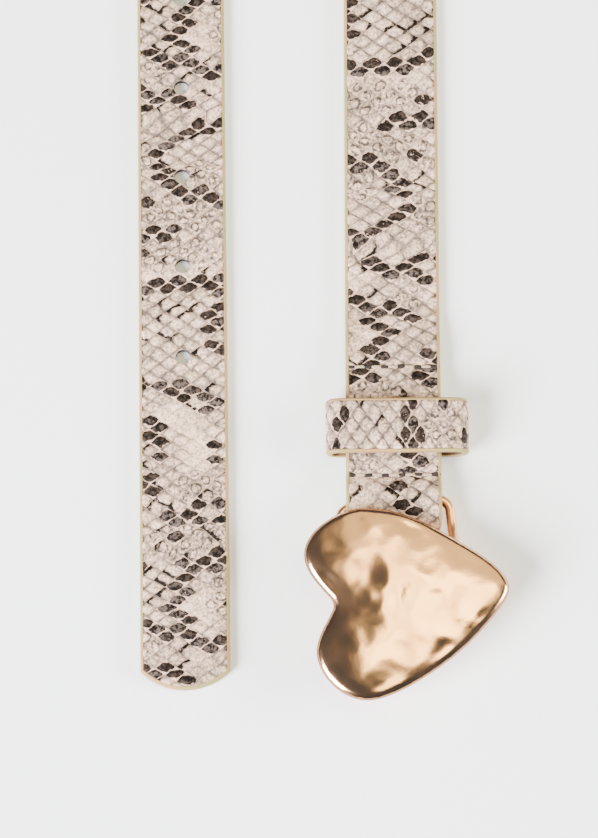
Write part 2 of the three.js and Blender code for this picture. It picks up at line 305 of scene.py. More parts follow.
@dataclass(frozen=True)
class Snakeskin(Finish):
    """The printed and embossed face of the leather, with painted shade on its light scales."""

    name: str = "snakeskin"
    pale: str = "fdd4b8"
    cream: str = "ffdab2"
    warm: str = "a18575"
    shade: str = "61544e"
    outline: str = "372f2c"
    dark: str = "0d0806"
    dusk: str = "33271f"
    # The painted shade at the light scales' soft edges.
    soft_shade: str = "7d6c60"
    light_line: str = "dab49c"
    waviness: float = 0.75
    ring_radius: float = 1.05

    def lay(self, s: Shader) -> None:
        """Lays the print: light scales with rings and hooks, and dark ones in light lines, with painted
        shade at the light scales' edges.

        Args:
            s: The material's shader.
        """
        # The place within the scale, drawn a little out of true
        cell = s.node("ShaderNodeUVMap", uv_map="scale")
        split = s.node("ShaderNodeSeparateXYZ")
        s.put(split.inputs[0], cell.outputs[0])
        place = s.place()
        warp = s.texture("Noise", place, {"Scale": 640, "Detail": 3})
        pull = s.node("ShaderNodeSeparateColor")
        s.put(pull.inputs[0], warp.outputs["Color"])
        drawn = []
        for own, strength in zip(split.outputs[:2], pull.outputs[:2]):
            offset = s.math("MULTIPLY", s.math("SUBTRACT", strength, 0.5), self.waviness)
            drawn.append(s.math("ADD", own, offset))
        sideways, lengthways = drawn
        seed, dark, hooked, ringed, smooth = (s.attribute(name) for name in SKIN_VALUES)

        # The ground of a light scale, with its freckles
        mottle = s.noise(place, 760, 5, 0.72)
        fine = s.noise(place, 2300, 3, 0.6)
        grit = s.noise(place, 1350, 3, 0.7)
        cloud = s.noise(place, 85, 3)
        wash = s.noise(place, 230, 3)
        grey = s.math("ADD", s.step(cloud, 0.3, 0.7, -0.1, 0.35), s.step(grit, 0.38, 0.62, 0.0, 0.55))
        grey = s.math("ADD", grey, s.math("MULTIPLY", seed, 0.3), True)
        creamy = s.step(s.math("ADD", s.math("MULTIPLY", seed, 0.3), cloud), 0.5, 0.8)
        base = s.mix(grey, s.mix(creamy, self.pale, self.cream), self.warm)
        freckled = s.math("ADD", s.step(wash, 0.36, 0.66, 0.3, 0.85), s.math("MULTIPLY", ringed, 0.35))
        freckles = s.times(s.step(mottle, 0.44, 0.64), s.times(freckled, s.without(smooth, 0.65)))
        base = s.mix(freckles, base, self.shade)
        base = s.mix(s.times(s.step(grit, 0.52, 0.68), 0.5), base, self.outline)

        # The painted shade at the soft edge of a light scale, heavier on the hooks' side, and the groove
        # beside it
        rounded = s.oval(sideways, lengthways, 1.28)
        # The side towards the hooks gets a heavier painted shade.
        hook_and_shade_side = s.step(sideways, 0.4, -0.8)
        nearness = s.math("ADD", rounded, s.math("MULTIPLY", hook_and_shade_side, 0.08))
        plainness = s.times(s.without(smooth, 0.75), s.without(ringed, 0.5))
        weight = s.times(s.math("ADD", s.math("MULTIPLY", hook_and_shade_side, 0.35), 0.65), plainness)
        # The painted shade is weaker in patches.
        wear_and_shade_patches = s.step(wash, 0.3, 0.65, 0.65, 1.0)
        # Painted shade: each light scale darkens towards its edge, as a domed scale is shaded.
        painted_scale_shade = s.times(s.times(s.step(nearness, 0.4, 0.92), wear_and_shade_patches), weight)
        light_scale = s.mix(painted_scale_shade, base, self.soft_shade)
        # The groove's dark line is partly the printed outline and partly painted shade in the groove,
        # heavier on the hooks' side.
        groove_outline_and_shade = s.times(s.step(nearness, 0.66, 0.95), s.step(mottle, 0.36, 0.54, 0.25, 0.8))
        light_scale = s.mix(s.times(groove_outline_and_shade, weight), light_scale, self.outline)

        # The rings that some light scales have
        ring_width = s.math("MULTIPLY", sideways, 2.85)
        ring_height = s.math("MULTIPLY", lengthways, 2.0)
        from_middle = s.oval(ring_width, ring_height, 2.0)
        radius = s.math("ADD", s.math("MULTIPLY", seed, 0.45), self.ring_radius - 0.2)
        off_ring = s.math("ABSOLUTE", s.math("SUBTRACT", from_middle, radius))
        ring = s.step(off_ring, 0.1, 0.45, 0.9, 0.0)
        ring = s.times(ring, s.step(mottle, 0.36, 0.56, 0.3, 1.0))
        ring = s.times(ring, ringed)
        light_scale = s.mix(ring, light_scale, self.outline)

        # The dark hooks along one side of a light scale
        lean = s.math("MULTIPLY", lengthways, s.math("MULTIPLY", s.math("SUBTRACT", seed, 0.5), 2.2))
        facing = s.math("SUBTRACT", lean, sideways)
        hook = s.times(s.step(facing, 0.05, 0.5), s.step(rounded, 0.3, 0.6))
        hook = s.times(hook, s.step(rounded, 1.02, 0.88))
        hook = s.times(s.times(hook, s.step(mottle, 0.3, 0.46)), hooked)
        light_scale = s.mix(hook, light_scale, self.dark)

        # The ink of a dark scale, with a light line round it
        ink = s.mix(s.step(mottle, 0.4, 0.66), self.dark, self.dusk)
        lit = s.times(s.step(rounded, 0.95, 0.5), s.step(mottle, 0.46, 0.57))
        ink = s.mix(s.times(lit, s.step(seed, 0.25, 0.9, 0.12, 0.9)), ink, self.shade)
        narrow = s.math("MULTIPLY", sideways, 1.1)
        flat = s.math("MULTIPLY", lengthways, 1.36)
        blot = s.oval(narrow, flat, 1.5)
        spread = s.step(blot, 1.02, 0.84)
        held = s.math("ADD", s.math("MULTIPLY", mottle, 1.1), s.math("MULTIPLY", dark, 0.96))
        hold = s.step(held, 0.99, 1.09)
        spread = s.times(spread, hold)
        around = s.mix(s.times(dark, 0.8), light_scale, self.light_line)
        colour = s.mix(spread, around, ink)
        s.cover(colour, s.step(fine, 0.3, 0.7, 0.48, 0.64), {"Specular IOR Level": 0.09})
        s.bump(fine, 0.06, 0.6)
        s.bump(mottle, 0.22, 0.6)
        s.bump(ring, 0.12, 0.6)


@dataclass(frozen=True)
class PaintedEdge(Finish):
    """The thick paint on the leather's cut edges."""

    name: str = "painted_edge"
    paint: str = "8f8450"
    wear_and_shade_patches: str = "a57f52"

    def lay(self, s: Shader) -> None:
        """Lays worn patches and a fine grain."""
        place = s.place()
        grain = s.noise(place, 1800, 3)
        colour = s.mix(s.step(s.noise(place, 60, 2), 0.38, 0.62), self.paint, self.wear_and_shade_patches)
        s.cover(colour, s.step(grain, 0.3, 0.7, 0.4, 0.55), {"Specular IOR Level": 0.25})
        s.bump(grain, 0.06, 0.6)
        s.bump(s.noise(place, 240, 2), 0.2, 0.5)


@dataclass(frozen=True)
class Backing(Finish):
    """The plain leather on the strap's back and inside the keeper."""

    name: str = "backing"
    face: str = "7a5636"
    deep: str = "553a24"

    def lay(self, s: Shader) -> None:
        """Lays soft clouds and the pores of the leather."""
        place = s.place()
        grain = s.texture("Voronoi", place, {"Scale": 1100}, feature="DISTANCE_TO_EDGE")
        pores = s.step(grain.outputs[0], 0.0, 0.2)
        cloud = s.noise(place, 120, 4)
        colour = s.mix(s.step(cloud, 0.35, 0.7), self.face, self.deep)
        colour = s.mix(s.math("MULTIPLY", s.math("SUBTRACT", 1.0, pores), 0.35), colour, self.deep)
        s.cover(colour, s.step(cloud, 0.3, 0.7, 0.62, 0.78))
        s.bump(pores, 0.09, 0.7)


@dataclass(frozen=True)
class Thread(Finish):
    """The twisted sewing thread."""

    name: str = "thread"
    yarn: str = "c9a988"
    shade: str = "8e7459"

    def lay(self, s: Shader) -> None:
        """Lays the plies of the thread."""
        place = s.place((1.0, 2.4, 1.0))
        sizes = {"Scale": 700, "Distortion": 1.5}
        plies = s.texture("Wave", place, sizes, wave_type="BANDS", bands_direction="DIAGONAL").outputs[1]
        s.cover(s.mix(plies, self.shade, self.yarn), 0.7, {"Sheen Weight": 0.3})
        s.bump(plies, 0.08, 0.8)


@dataclass(frozen=True)
class NeedleHoleShade(Finish):
    """Painted shade of the needle holes: dark blobs where their inside lies in shade."""

    name: str = "needle_hole_shade"
    # The painted shade of the holes' inside and of their rims.
    depth: str = "1a0f0a"
    rim: str = "2a1c15"

    def lay(self, s: Shader) -> None:
        """Lays two dark browns of painted shade."""
        grain = s.noise(s.place(), 2200, 3)
        s.cover(s.mix(s.step(grain, 0.4, 0.7), self.depth, self.rim), 0.85)


@dataclass(frozen=True)
class PunchedWall(Finish):
    """The fibres of the leather's core in the punched holes, painted dark as the holes' shade."""

    name: str = "punched_wall_shade"
    fibre: str = "3b3436"
    pores: str = "241f20"

    def lay(self, s: Shader) -> None:
        """Lays fibres that run along the strap."""
        grain = s.noise(s.place((1.0, 1.0, 0.35)), 2600, 3)
        # Painted shade: the walls are dark so that the punched holes look shaded.
        s.cover(s.mix(s.step(grain, 0.4, 0.6), self.pores, self.fibre), 0.8)
        s.bump(grain, 0.05, 0.6)


@dataclass(frozen=True)
class RoseGold(Finish):
    """The satin rose gold of the buckle, with a dark reflection painted along the plate's rim."""

    metal: str = "f5ba85"
    warm: str = "eab07f"
    dark_rim_reflection: str = "6e4a35"
    roughness: float = 0.15
    grain_depth: float = 0.03

    def lay(self, s: Shader) -> None:
        """Lays soft clouds, the painted dark reflection along the plate's rim and a fine grain."""
        place = s.place()
        cloud = s.noise(place, 70, 3)
        colour = s.mix(s.step(cloud, 0.35, 0.7), self.metal, self.warm)
        # Painted reflection: the rim darkens as if its steep edge mirrored the dark room.
        colour = s.mix(s.math("MULTIPLY", s.attribute("rim"), 0.85), colour, self.dark_rim_reflection)
        rough = s.step(cloud, 0.3, 0.7, self.roughness - 0.05, self.roughness + 0.06)
        s.cover(colour, rough, {"Metallic": 1.0})
        s.bump(s.noise(place, 1500, 3, 0.6), self.grain_depth, 0.5)


@dataclass(frozen=True)
class FloorFinish(Finish):
    """The plain pale floor."""

    name: str = "floor"
    tone: str = "fafafa"

    def lay(self, s: Shader) -> None:
        """Sets one even tone."""
        s.cover(self.tone, 0.9, {"Specular IOR Level": 0.1})


# Pieces


def add_object(name: str, data: bpy.types.ID) -> bpy.types.Object:
    """Adds an object to the scene."""
    made = bpy.data.objects.new(name, data)
    bpy.context.scene.collection.objects.link(made)
    return made


def add_mesh(name: str, mesh: bmesh.types.BMesh) -> bpy.types.Object:
    """Adds a mesh to the scene as an object.

    Args:
        name: The object's name.
        mesh: The mesh. It is freed.

    Returns:
        The new object.
    """
    data = bpy.data.meshes.new(name)
    mesh.to_mesh(data)
    mesh.free()
    return add_object(name, data)


def shaped(blank: bpy.types.Object) -> bmesh.types.BMesh:
    """Gives the mesh that a blank's modifiers make."""
    ready = blank.evaluated_get(bpy.context.evaluated_depsgraph_get())
    mesh = bmesh.new()
    mesh.from_mesh(ready.to_mesh())
    ready.to_mesh_clear()
    return mesh


def finish_piece(
    mesh: bmesh.types.BMesh, name: str, body: Body, slot: Slot, *finishes: Finish
) -> bpy.types.Object:
    """Turns a finished mesh into a piece that rides with the belt.

    Args:
        mesh: The mesh, in metres and in its place. It is freed.
        name: The piece's name.
        body: The body that it rides on.
        slot: The record's slot that its finish is from. It is not used.
        finishes: Its finishes, in the order of the faces' numbers.

    Returns:
        The new object.
    """
    for face in mesh.faces:
        face.smooth = True
    piece = add_mesh(name, mesh)
    for finish in finishes:
        piece.data.materials.append(finish.make())
    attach(piece, body.value)
    faces = sum(len(p.vertices) - 2 for p in piece.data.polygons)
    log.info("%s: %d triangles, rides on %s", name, faces, body.value)
    return piece


def read_places(mesh: bmesh.types.BMesh) -> np.ndarray:
    """Reads the vertices' places as rows of three numbers."""
    return np.array([v.co[:] for v in mesh.verts])


def write_places(mesh: bmesh.types.BMesh, places: np.ndarray) -> None:
    """Moves every vertex to its row's place."""
    for vertex, place in zip(mesh.verts, places):
        vertex.co = place


def to_frame(mesh: bmesh.types.BMesh) -> None:
    """Takes a mesh from millimetres at the buckle end to metres in the frame."""
    write_places(mesh, (read_places(mesh) - np.array(BELT_MIDDLE)) * METRES)


def with_corners(faces: list[bmesh.types.BMFace]) -> list:
    """Lists faces with their edges and vertices, each once and always in the same order."""
    return list(dict.fromkeys(g for f in faces for g in (*f.verts, *f.edges, f)))


def cut_across(
    mesh: bmesh.types.BMesh, at: Vector, facing: Vector, clear: bool = False, reach: float = 0.0
) -> None:
    """Cuts the mesh by a plane.

    Args:
        mesh: The mesh to cut.
        at: A point of the plane.
        facing: The plane's direction.
        clear: Whether what lies in front of the plane is taken away.
        reach: How far from the point a face may lie to be cut, or 0 for the whole mesh.
    """
    faces = mesh.faces[:]
    if reach:
        faces = [f for f in faces if (f.verts[0].co - at).length < reach]
    bmesh.ops.bisect_plane(
        mesh, geom=with_corners(faces), dist=1e-5, plane_co=at, plane_no=facing, clear_outer=clear
    )


def trim_sides(mesh: bmesh.types.BMesh, half: float) -> None:
    """Cuts off what a flat strip has beyond half its width on both sides."""
    for side in (1.0, -1.0):
        cut_across(mesh, Vector((side * half, 0, 0)), Vector((side, 0, 0)), clear=True)


def crease(mesh: bmesh.types.BMesh, way: float, clear: bool = False, reach: float = 0.0) -> None:
    """Cuts a flat strip across, as cut_across does, at a way along it."""
    cut_across(mesh, Vector((0, way, 0)), Vector((0, 1, 0)), clear, reach)


def shift_new(
    mesh: bmesh.types.BMesh, made: dict[str, list], shift: tuple[float, float, float]
) -> list[bmesh.types.BMVert]:
    """Moves the vertices that an extrusion has made.

    Args:
        mesh: The mesh.
        made: What the extrusion gave back.
        shift: How far they move.

    Returns:
        The vertices.
    """
    verts = [g for g in made["geom"] if isinstance(g, bmesh.types.BMVert)]
    bmesh.ops.translate(mesh, verts=verts, vec=shift)
    return verts


def sink(mesh: bmesh.types.BMesh, faces: list[bmesh.types.BMFace], depth: float) -> None:
    """Sinks upper faces into a recess that has walls."""
    made = bmesh.ops.extrude_face_region(mesh, geom=faces)
    bmesh.ops.delete(mesh, geom=faces, context="FACES_ONLY")
    shift_new(mesh, made, (0, 0, -depth))


def add_post(
    mesh: bmesh.types.BMesh, middle: Vector, radius: float, length: float, sides: int
) -> None:
    """Adds an upright post with flat ends."""
    turned = {"radius1": radius, "radius2": radius, "depth": length}
    at = Matrix.Translation(middle)
    bmesh.ops.create_cone(mesh, cap_ends=True, segments=sides, matrix=at, **turned)


def round_edges(
    mesh: bmesh.types.BMesh, edges: list[bmesh.types.BMEdge], size: float, steps: int
) -> None:
    """Rounds edges."""
    bmesh.ops.bevel(
        mesh, geom=edges, offset=size, segments=steps, profile=0.5, material=-1, affect="EDGES"
    )


def draw_along(mesh: bmesh.types.BMesh, route: list[Vector], radius: float, sides: int) -> None:
    """Draws a round wire along a route, closed at both ends.

    Args:
        mesh: The mesh that gets the wire.
        route: The points that its middle passes.
        radius: The wire's radius.
        sides: How many sides its section has.
    """
    heading = (route[1] - route[0]).normalized()
    turn = Vector((0, 0, 1)).rotation_difference(heading).to_matrix().to_4x4()
    start = Matrix.Translation(route[0]) @ turn
    made = bmesh.ops.create_circle(mesh, cap_ends=True, radius=radius, segments=sides, matrix=start)
    ring = list(dict.fromkeys(e for v in made["verts"] for e in v.link_edges))
    for i in range(1, len(route)):
        made = bmesh.ops.extrude_edge_only(mesh, edges=ring)
        verts = shift_new(mesh, made, route[i] - route[i - 1])
        new = set(verts)
        ring = [g for g in made["geom"] if isinstance(g, bmesh.types.BMEdge) and set(g.verts) <= new]
        ahead = route[min(i + 1, len(route) - 1)] - route[i - 1]
        turn = heading.rotation_difference(ahead.normalized()).to_matrix()
        bmesh.ops.rotate(mesh, verts=verts, cent=route[i], matrix=turn)
        heading = ahead.normalized()
    bmesh.ops.contextual_create(mesh, geom=ring)
    bmesh.ops.recalc_face_normals(mesh, faces=mesh.faces[:])


# The strap's route


@dataclass
class StrapRoute:
    """Where the strap lies: its back's middle line and its directions against the way along it."""

    tip: tuple[float, float] = (-30.1, -72.6)
    tip_lean: float = math.radians(0.37)
    bar: tuple[float, float] = BAR
    bar_lean: float = math.radians(-0.32)
    length: float = 993.0
    tip_width: float = 23.5
    buckle_width: float = 25.2
    thickness: float = 2.4
    flat_tip_leg: float = 215.0
    flat_buckle_leg: float = 180.0
    twist_length: float = 105.0
    taper: tuple[float, float] = (215.0, 780.0)
    flap_length: float = 43.9
    flap_top: float = 1.3
    flap_width: float = 24.0
    flap_thickness: float = 1.3
    buckle_end: tuple[tuple[float, float], ...] = (
        (62.0, 0.0), (56.0, 0.0), (50.0, 0.25), (42.0, 1.75), (36.3, 1.9), (32.0, 2.75), (27.6, 3.6),
        (23.0, 3.75), (16.0, 3.75), (11.6, 3.6), (7.0, 2.75), (1.8, 4.85), (-3.5, 4.95),
    )
    fitting_rounds: int = 20
    bend_steps: int = 120
    curve_steps: int = 24
    fold_steps: int = 60
    flap_steps: int = 44

    def __post_init__(self) -> None:
        """Lays out the tables."""
        self.fit_legs()
        self.fill_tables(self.leg_rows() + self.raised_rows() + self.fold_rows())

    def fit_legs(self) -> None:
        """Finds how far the two legs reach for the whole strap to have its length."""
        self.tip_heading = math.pi / 2 + self.tip_lean
        self.buckle_heading = -math.pi / 2 + self.bar_lean
        self.turn = self.tip_heading - self.buckle_heading
        leg = self.length / 2
        for _ in range(self.fitting_rounds):
            end = Vector(self.tip) + self.towards(self.tip_heading) * leg
            back = (end.y - self.bar[1]) / math.cos(self.bar_lean)
            start = Vector(self.bar) - self.towards(self.buckle_heading) * back
            self.radius = (end - start).length / 2
            leg += (self.length - leg - back - self.radius * self.turn) / 2
        self.tip_leg = leg
        self.buckle_leg = self.length - leg - self.radius * self.turn

    @staticmethod
    def towards(heading: float) -> Vector:
        """Gives the flat direction of a heading."""
        return Vector((math.cos(heading), math.sin(heading)))

    def twist_at(self, distance: float, flat_leg: float) -> float:
        """Gives how far the strap stands up on its edge, past the flat part of a leg."""
        return float(smoothstep(distance, flat_leg, flat_leg + self.twist_length)) * math.pi / 2

    def width_at(self, distance: float) -> float:
        """Gives the strap's width at a distance from the tip."""
        share = float(smoothstep(distance, *self.taper))
        return self.tip_width + (self.buckle_width - self.tip_width) * share

    def row(
        self,
        spot: Vector,
        heading: float,
        width: float,
        height: float = 0.0,
        pitch: float = 0.0,
        twist: float = 0.0,
        thickness: float | None = None,
    ) -> list[float]:
        """Works out one place of the strap.

        Args:
            spot: The back's middle, seen from above.
            heading: The way the strap goes.
            width: Its width.
            height: The back's height.
            pitch: How steeply it climbs.
            twist: How far it stands up on its edge.
            thickness: Its thickness, if it isn't the strap's.

        Returns:
            The back's middle, the right and the face directions, the width and the thickness.
        """
        flat = self.towards(heading)
        along = Vector((flat.x * math.cos(pitch), flat.y * math.cos(pitch), math.sin(pitch)))
        flat_right = Vector((flat.y, -flat.x, 0.0))
        flat_face = flat_right.cross(along)
        right = flat_right * math.cos(twist) + flat_face * math.sin(twist)
        face = flat_face * math.cos(twist) - flat_right * math.sin(twist)
        middle = Vector((spot.x, spot.y, height + math.sin(twist) * width / 2))
        return [*middle, *right, *face, width, thickness or self.thickness]

    def leg_rows(self) -> list[list[float]]:
        """Lists the places of both legs and of the bend between them."""
        rows = []
        tip = Vector(self.tip)
        bar = Vector(self.bar)
        for distance in np.arange(0.0, self.tip_leg, 1.0):
            twist = self.twist_at(distance, self.flat_tip_leg)
            spot = tip + self.towards(self.tip_heading) * distance
            rows.append(self.row(spot, self.tip_heading, self.width_at(distance), twist=twist))
        end = tip + self.towards(self.tip_heading) * self.tip_leg
        centre = end + self.towards(self.tip_heading - math.pi / 2) * self.radius
        for turned in np.linspace(0.0, self.turn, self.bend_steps, endpoint=False):
            heading = self.tip_heading - turned
            spot = centre + self.towards(heading + math.pi / 2) * self.radius
            width = self.width_at(self.tip_leg + turned * self.radius)
            rows.append(self.row(spot, heading, width, twist=math.pi / 2))
        for run in np.arange(self.buckle_leg, self.buckle_end[0][0], -1.0):
            twist = self.twist_at(run, self.flat_buckle_leg)
            spot = bar - self.towards(self.buckle_heading) * run
            width = self.width_at(self.length - run)
            rows.append(self.row(spot, self.buckle_heading, width, twist=twist))
        return rows

    def profile(self) -> np.ndarray:
        """Draws a smooth line through the raised stretch's points.

        Returns:
            Rows of run and height, from the flat stretch to the bar.
        """
        points = [Vector((-run, height)) for run, height in self.buckle_end]
        points = [2 * points[0] - points[1], *points, 2 * points[-1] - points[-2]]
        line = []
        for p0, p1, p2, p3 in zip(points, points[1:], points[2:], points[3:]):
            d0, d1, d2 = ((b - a).length ** 0.5 for a, b in ((p0, p1), (p1, p2), (p2, p3)))
            t1 = ((p1 - p0) / d0 - (p2 - p0) / (d0 + d1) + (p2 - p1) / d1) * d1
            t2 = ((p2 - p1) / d1 - (p3 - p1) / (d1 + d2) + (p3 - p2) / d2) * d1
            for share in np.linspace(0.0, 1.0, self.curve_steps, endpoint=False):
                cubic = p1 + t1 * share + (3 * (p2 - p1) - 2 * t1 - t2) * share**2
                cubic += (2 * (p1 - p2) + t1 + t2) * share**3
                line.append((cubic.x, max(cubic.y, 0.0)))
        return np.array(line)

    def raised_rows(self) -> list[list[float]]:
        """Lists the places of the raised stretch over the flap, the keeper and the bar."""
        line = self.profile()
        slopes = np.gradient(line[:, 1], line[:, 0])
        bar = Vector(self.bar)
        rows = []
        for (ahead, height), slope in zip(line, slopes):
            spot = bar + self.towards(self.buckle_heading) * float(ahead)
            width = self.buckle_width
            rows.append(self.row(spot, self.buckle_heading, width, float(height), math.atan(slope)))
        return rows

    def fold_rows(self) -> list[list[float]]:
        """Lists the places of the fold round the bar and of the flap under the strap."""
        run, top = self.buckle_end[-1]
        radius = (top - self.flap_top) / 2
        bar = Vector(self.bar)
        rows = []
        for turned in np.linspace(0.0, math.pi, self.fold_steps):
            share = turned / math.pi
            spot = bar + self.towards(self.buckle_heading) * (-run + radius * math.sin(turned))
            height = self.flap_top + radius * (1 + math.cos(turned))
            width = self.buckle_width + (self.flap_width - self.buckle_width) * share
            thickness = self.thickness + (self.flap_thickness - self.thickness) * share
            rows.append(self.row(spot, self.buckle_heading, width, height, -turned, thickness=thickness))
        for back in np.linspace(1.0, self.flap_length, self.flap_steps):
            spot = bar + self.towards(self.buckle_heading) * (-run - float(back))
            size = {"width": self.flap_width, "thickness": self.flap_thickness}
            rows.append(self.row(spot, self.buckle_heading, height=self.flap_top, pitch=-math.pi, **size))
        return rows

    def fill_tables(self, rows: list[list[float]]) -> None:
        """Turns the places into tables against the way along the strap's face.

        Args:
            rows: The places, in order from the tip.
        """
        table = np.array(rows)
        table[:, :3] -= np.array(BELT_MIDDLE)
        face_line = table[:, :3] + table[:, 6:9] * table[:, 10:11]
        steps = np.linalg.norm(np.diff(face_line, axis=0), axis=1)
        along = np.concatenate([[0.0], np.cumsum(np.maximum(steps, 1e-6))])
        self.along = along
        self.table = table
        self.total = float(along[-1])
        self.bar_at = self.along_at_run(0.0)

    def lay(self, flat: np.ndarray) -> np.ndarray:
        """Lays flat places on the strap.

        Args:
            flat: Rows of the way across, along the face, and up from the back. The way across
                is that of a strap of the tip's width, and the way up that of a full thickness.

        Returns:
            Rows of places in metres.
        """
        at = np.stack([np.interp(flat[:, 1], self.along, column) for column in self.table.T], axis=1)
        across = (flat[:, 0] * at[:, 9] / self.tip_width)[:, None]
        up = (flat[:, 2] * at[:, 10] / self.thickness)[:, None]
        return (at[:, :3] + at[:, 3:6] * across + at[:, 6:9] * up) * METRES

    def lay_mesh(self, mesh: bmesh.types.BMesh) -> None:
        """Lays a flat mesh on the strap."""
        write_places(mesh, self.lay(read_places(mesh)))

    def along_at_run(self, run: float) -> float:
        """Gives the way along the face for a distance before the bar."""
        bar_y = self.bar[1] + run - BELT_MIDDLE.y
        leg = slice(len(self.table) // 2, len(self.table) - self.fold_steps - self.flap_steps)
        return float(np.interp(-bar_y, -self.table[leg, 1], self.along[leg]))


# The print


class Mark(Enum):
    """How one scale of the print is inked."""

    DARK = 1.0
    BROKEN = 0.68
    HOOKED = 0.0


@dataclass(frozen=True)
class InkedRow:
    """The inked scales of one row of the print, by their places across in half scales."""

    row: int
    dark: tuple[int, ...] = ()
    broken: tuple[int, ...] = ()
    hooked: tuple[int, ...] = ()


@dataclass(frozen=True)
class Patch:
    """A soft oval of the print where the scales look different, in millimetres."""

    along: float
    across: float
    half_length: float
    half_width: float


@dataclass
class SnakePrint:
    """The print: a lattice of scales that repeats along the strap."""

    scale_width: float = 5.7
    rows_per_repeat: int = 78
    repeat: float = 156.7
    slant: float = 0.061
    inked: tuple[InkedRow, ...] = (
        InkedRow(1, (-6, -4, 0)), InkedRow(2, (-3, -1)), InkedRow(3, (-2, -4)), InkedRow(4, (-5,)),
        InkedRow(5, (2, 4), hooked=(0,)), InkedRow(6, (1, 3)), InkedRow(7, (-2, 0)),
        InkedRow(8, (-3,), broken=(-1,)), InkedRow(9, (-4, 0)), InkedRow(10, (-1,)),
        InkedRow(11, (-2,)), InkedRow(12, (-1,)), InkedRow(13, broken=(0,)), InkedRow(14, (-1, -5)),
        InkedRow(15, (0, -6)), InkedRow(16, (1, 3, -5)), InkedRow(17, (0, 2, 4, -4)),
        InkedRow(18, (3, -5)), InkedRow(20, (-1,)), InkedRow(22, (-1, 1, 3)), InkedRow(23, (-2, 0)),
        InkedRow(24, (1, 3)), InkedRow(26, (-3,)), InkedRow(27, (-4,)), InkedRow(28, (-3,)),
        InkedRow(30, (3,), hooked=(-3,)), InkedRow(31, (-2,)), InkedRow(32, (3,), hooked=(-3,)),
        InkedRow(33, (-2,)), InkedRow(34, (-3,)), InkedRow(35, (-2,)), InkedRow(36, (-3,)),
        InkedRow(37, (2,)), InkedRow(38, (3,), hooked=(1,)), InkedRow(39, (0,), broken=(2,)),
        InkedRow(40, (-1,), broken=(1,), hooked=(3,)), InkedRow(41, (-2, -4), broken=(0,)),
        InkedRow(42, hooked=(-3,)), InkedRow(45, broken=(4,)), InkedRow(46, (3,)),
        InkedRow(47, hooked=(-4,)), InkedRow(48, broken=(3,), hooked=(-3,)),
        InkedRow(49, (4,), hooked=(-4,)), InkedRow(50, broken=(3,)), InkedRow(51, (4,)),
        InkedRow(53, (-4, 4)), InkedRow(54, (-3, -1, 3), broken=(1,)), InkedRow(55, (-2, 0, 2, 4)),
        InkedRow(59, broken=(-4,)), InkedRow(61, (-4, -2)), InkedRow(62, (-5, -3, -1)),
        InkedRow(65, (4,)), InkedRow(66, (1, 3), broken=(-3,)), InkedRow(67, (0,), broken=(2,)),
        InkedRow(68, (-1,)), InkedRow(69, (-2,)), InkedRow(70, broken=(-1,)), InkedRow(71, (-2,)),
        InkedRow(73, (-2,)), InkedRow(74, (-1,)), InkedRow(75, broken=(0,)),
        InkedRow(76, (3,), broken=(1,)), InkedRow(77, (2, 4)),
    )
    ringed: tuple[Patch, ...] = (
        Patch(117.0, 1.0, 5.0, 12.0), Patch(129.0, 3.0, 6.5, 10.0), Patch(131.0, -9.0, 5.0, 5.0),
        Patch(139.0, 6.0, 6.0, 5.0), Patch(148.0, -9.0, 5.0, 4.0), Patch(39.0, 0.0, 5.0, 11.0),
        Patch(52.0, 4.0, 6.0, 7.0), Patch(23.0, 9.0, 7.0, 4.0), Patch(13.0, -9.0, 5.0, 4.0),
    )
    smooth: tuple[Patch, ...] = (
        Patch(112.5, 0.0, 2.5, 12.0), Patch(74.0, 0.0, 5.0, 9.0), Patch(63.0, 5.0, 8.0, 5.0),
        Patch(22.0, 4.0, 6.0, 5.0), Patch(7.0, 4.0, 3.0, 5.0),
    )
    wedged: tuple[Patch, ...] = (Patch(97.5, -1.0, 9.0, 10.0), Patch(46.0, -5.0, 5.0, 6.0))
    pulls: tuple[tuple[float, float], ...] = (
        (0.0, 0.3), (2.5, 0.5), (6.0, 0.2), (17.0, 0.35), (22.0, -0.2), (30.0, -0.6), (36.0, -0.6),
        (41.0, 1.0), (44.5, 0.1), (48.0, 0.8), (55.0, 1.3), (61.0, 0.3), (72.0, 0.2), (80.0, -0.5),
        (96.0, -0.3), (112.0, -0.3), (122.0, 0.0), (125.0, 0.5), (129.0, -0.4), (133.0, 0.0),
        (138.0, 1.1), (143.5, -0.5), (149.0, -0.6), (153.5, -1.6), (155.0, -1.6), (156.7, 0.3),
    )
    seed: int = 7

    def __post_init__(self) -> None:
        """Lays out the scale's length and the marks."""
        self.scale_length = 2 * self.repeat / self.rows_per_repeat
        self.marks = {}
        for line in self.inked:
            for mark, columns in zip(Mark, (line.dark, line.broken, line.hooked)):
                for column in columns:
                    self.marks[(line.row, column)] = mark

    def mark_at(self, row: int, column: int) -> Mark | None:
        """Gives the mark of a scale, if it has one."""
        return self.marks.get((row % self.rows_per_repeat, column))

    def near_ink(self, row: int, column: int) -> bool:
        """Tells whether one of the four scales that touch this one is dark."""
        touching = ((1, 1), (1, -1), (-1, 1), (-1, -1))
        return any(self.mark_at(row + r, column + c) is Mark.DARK for r, c in touching)

    def halves(self, printed: np.ndarray) -> np.ndarray:
        """Turns places across and along the print into half scales."""
        return printed[:, :2] / np.array([self.scale_width / 2, self.scale_length / 2])

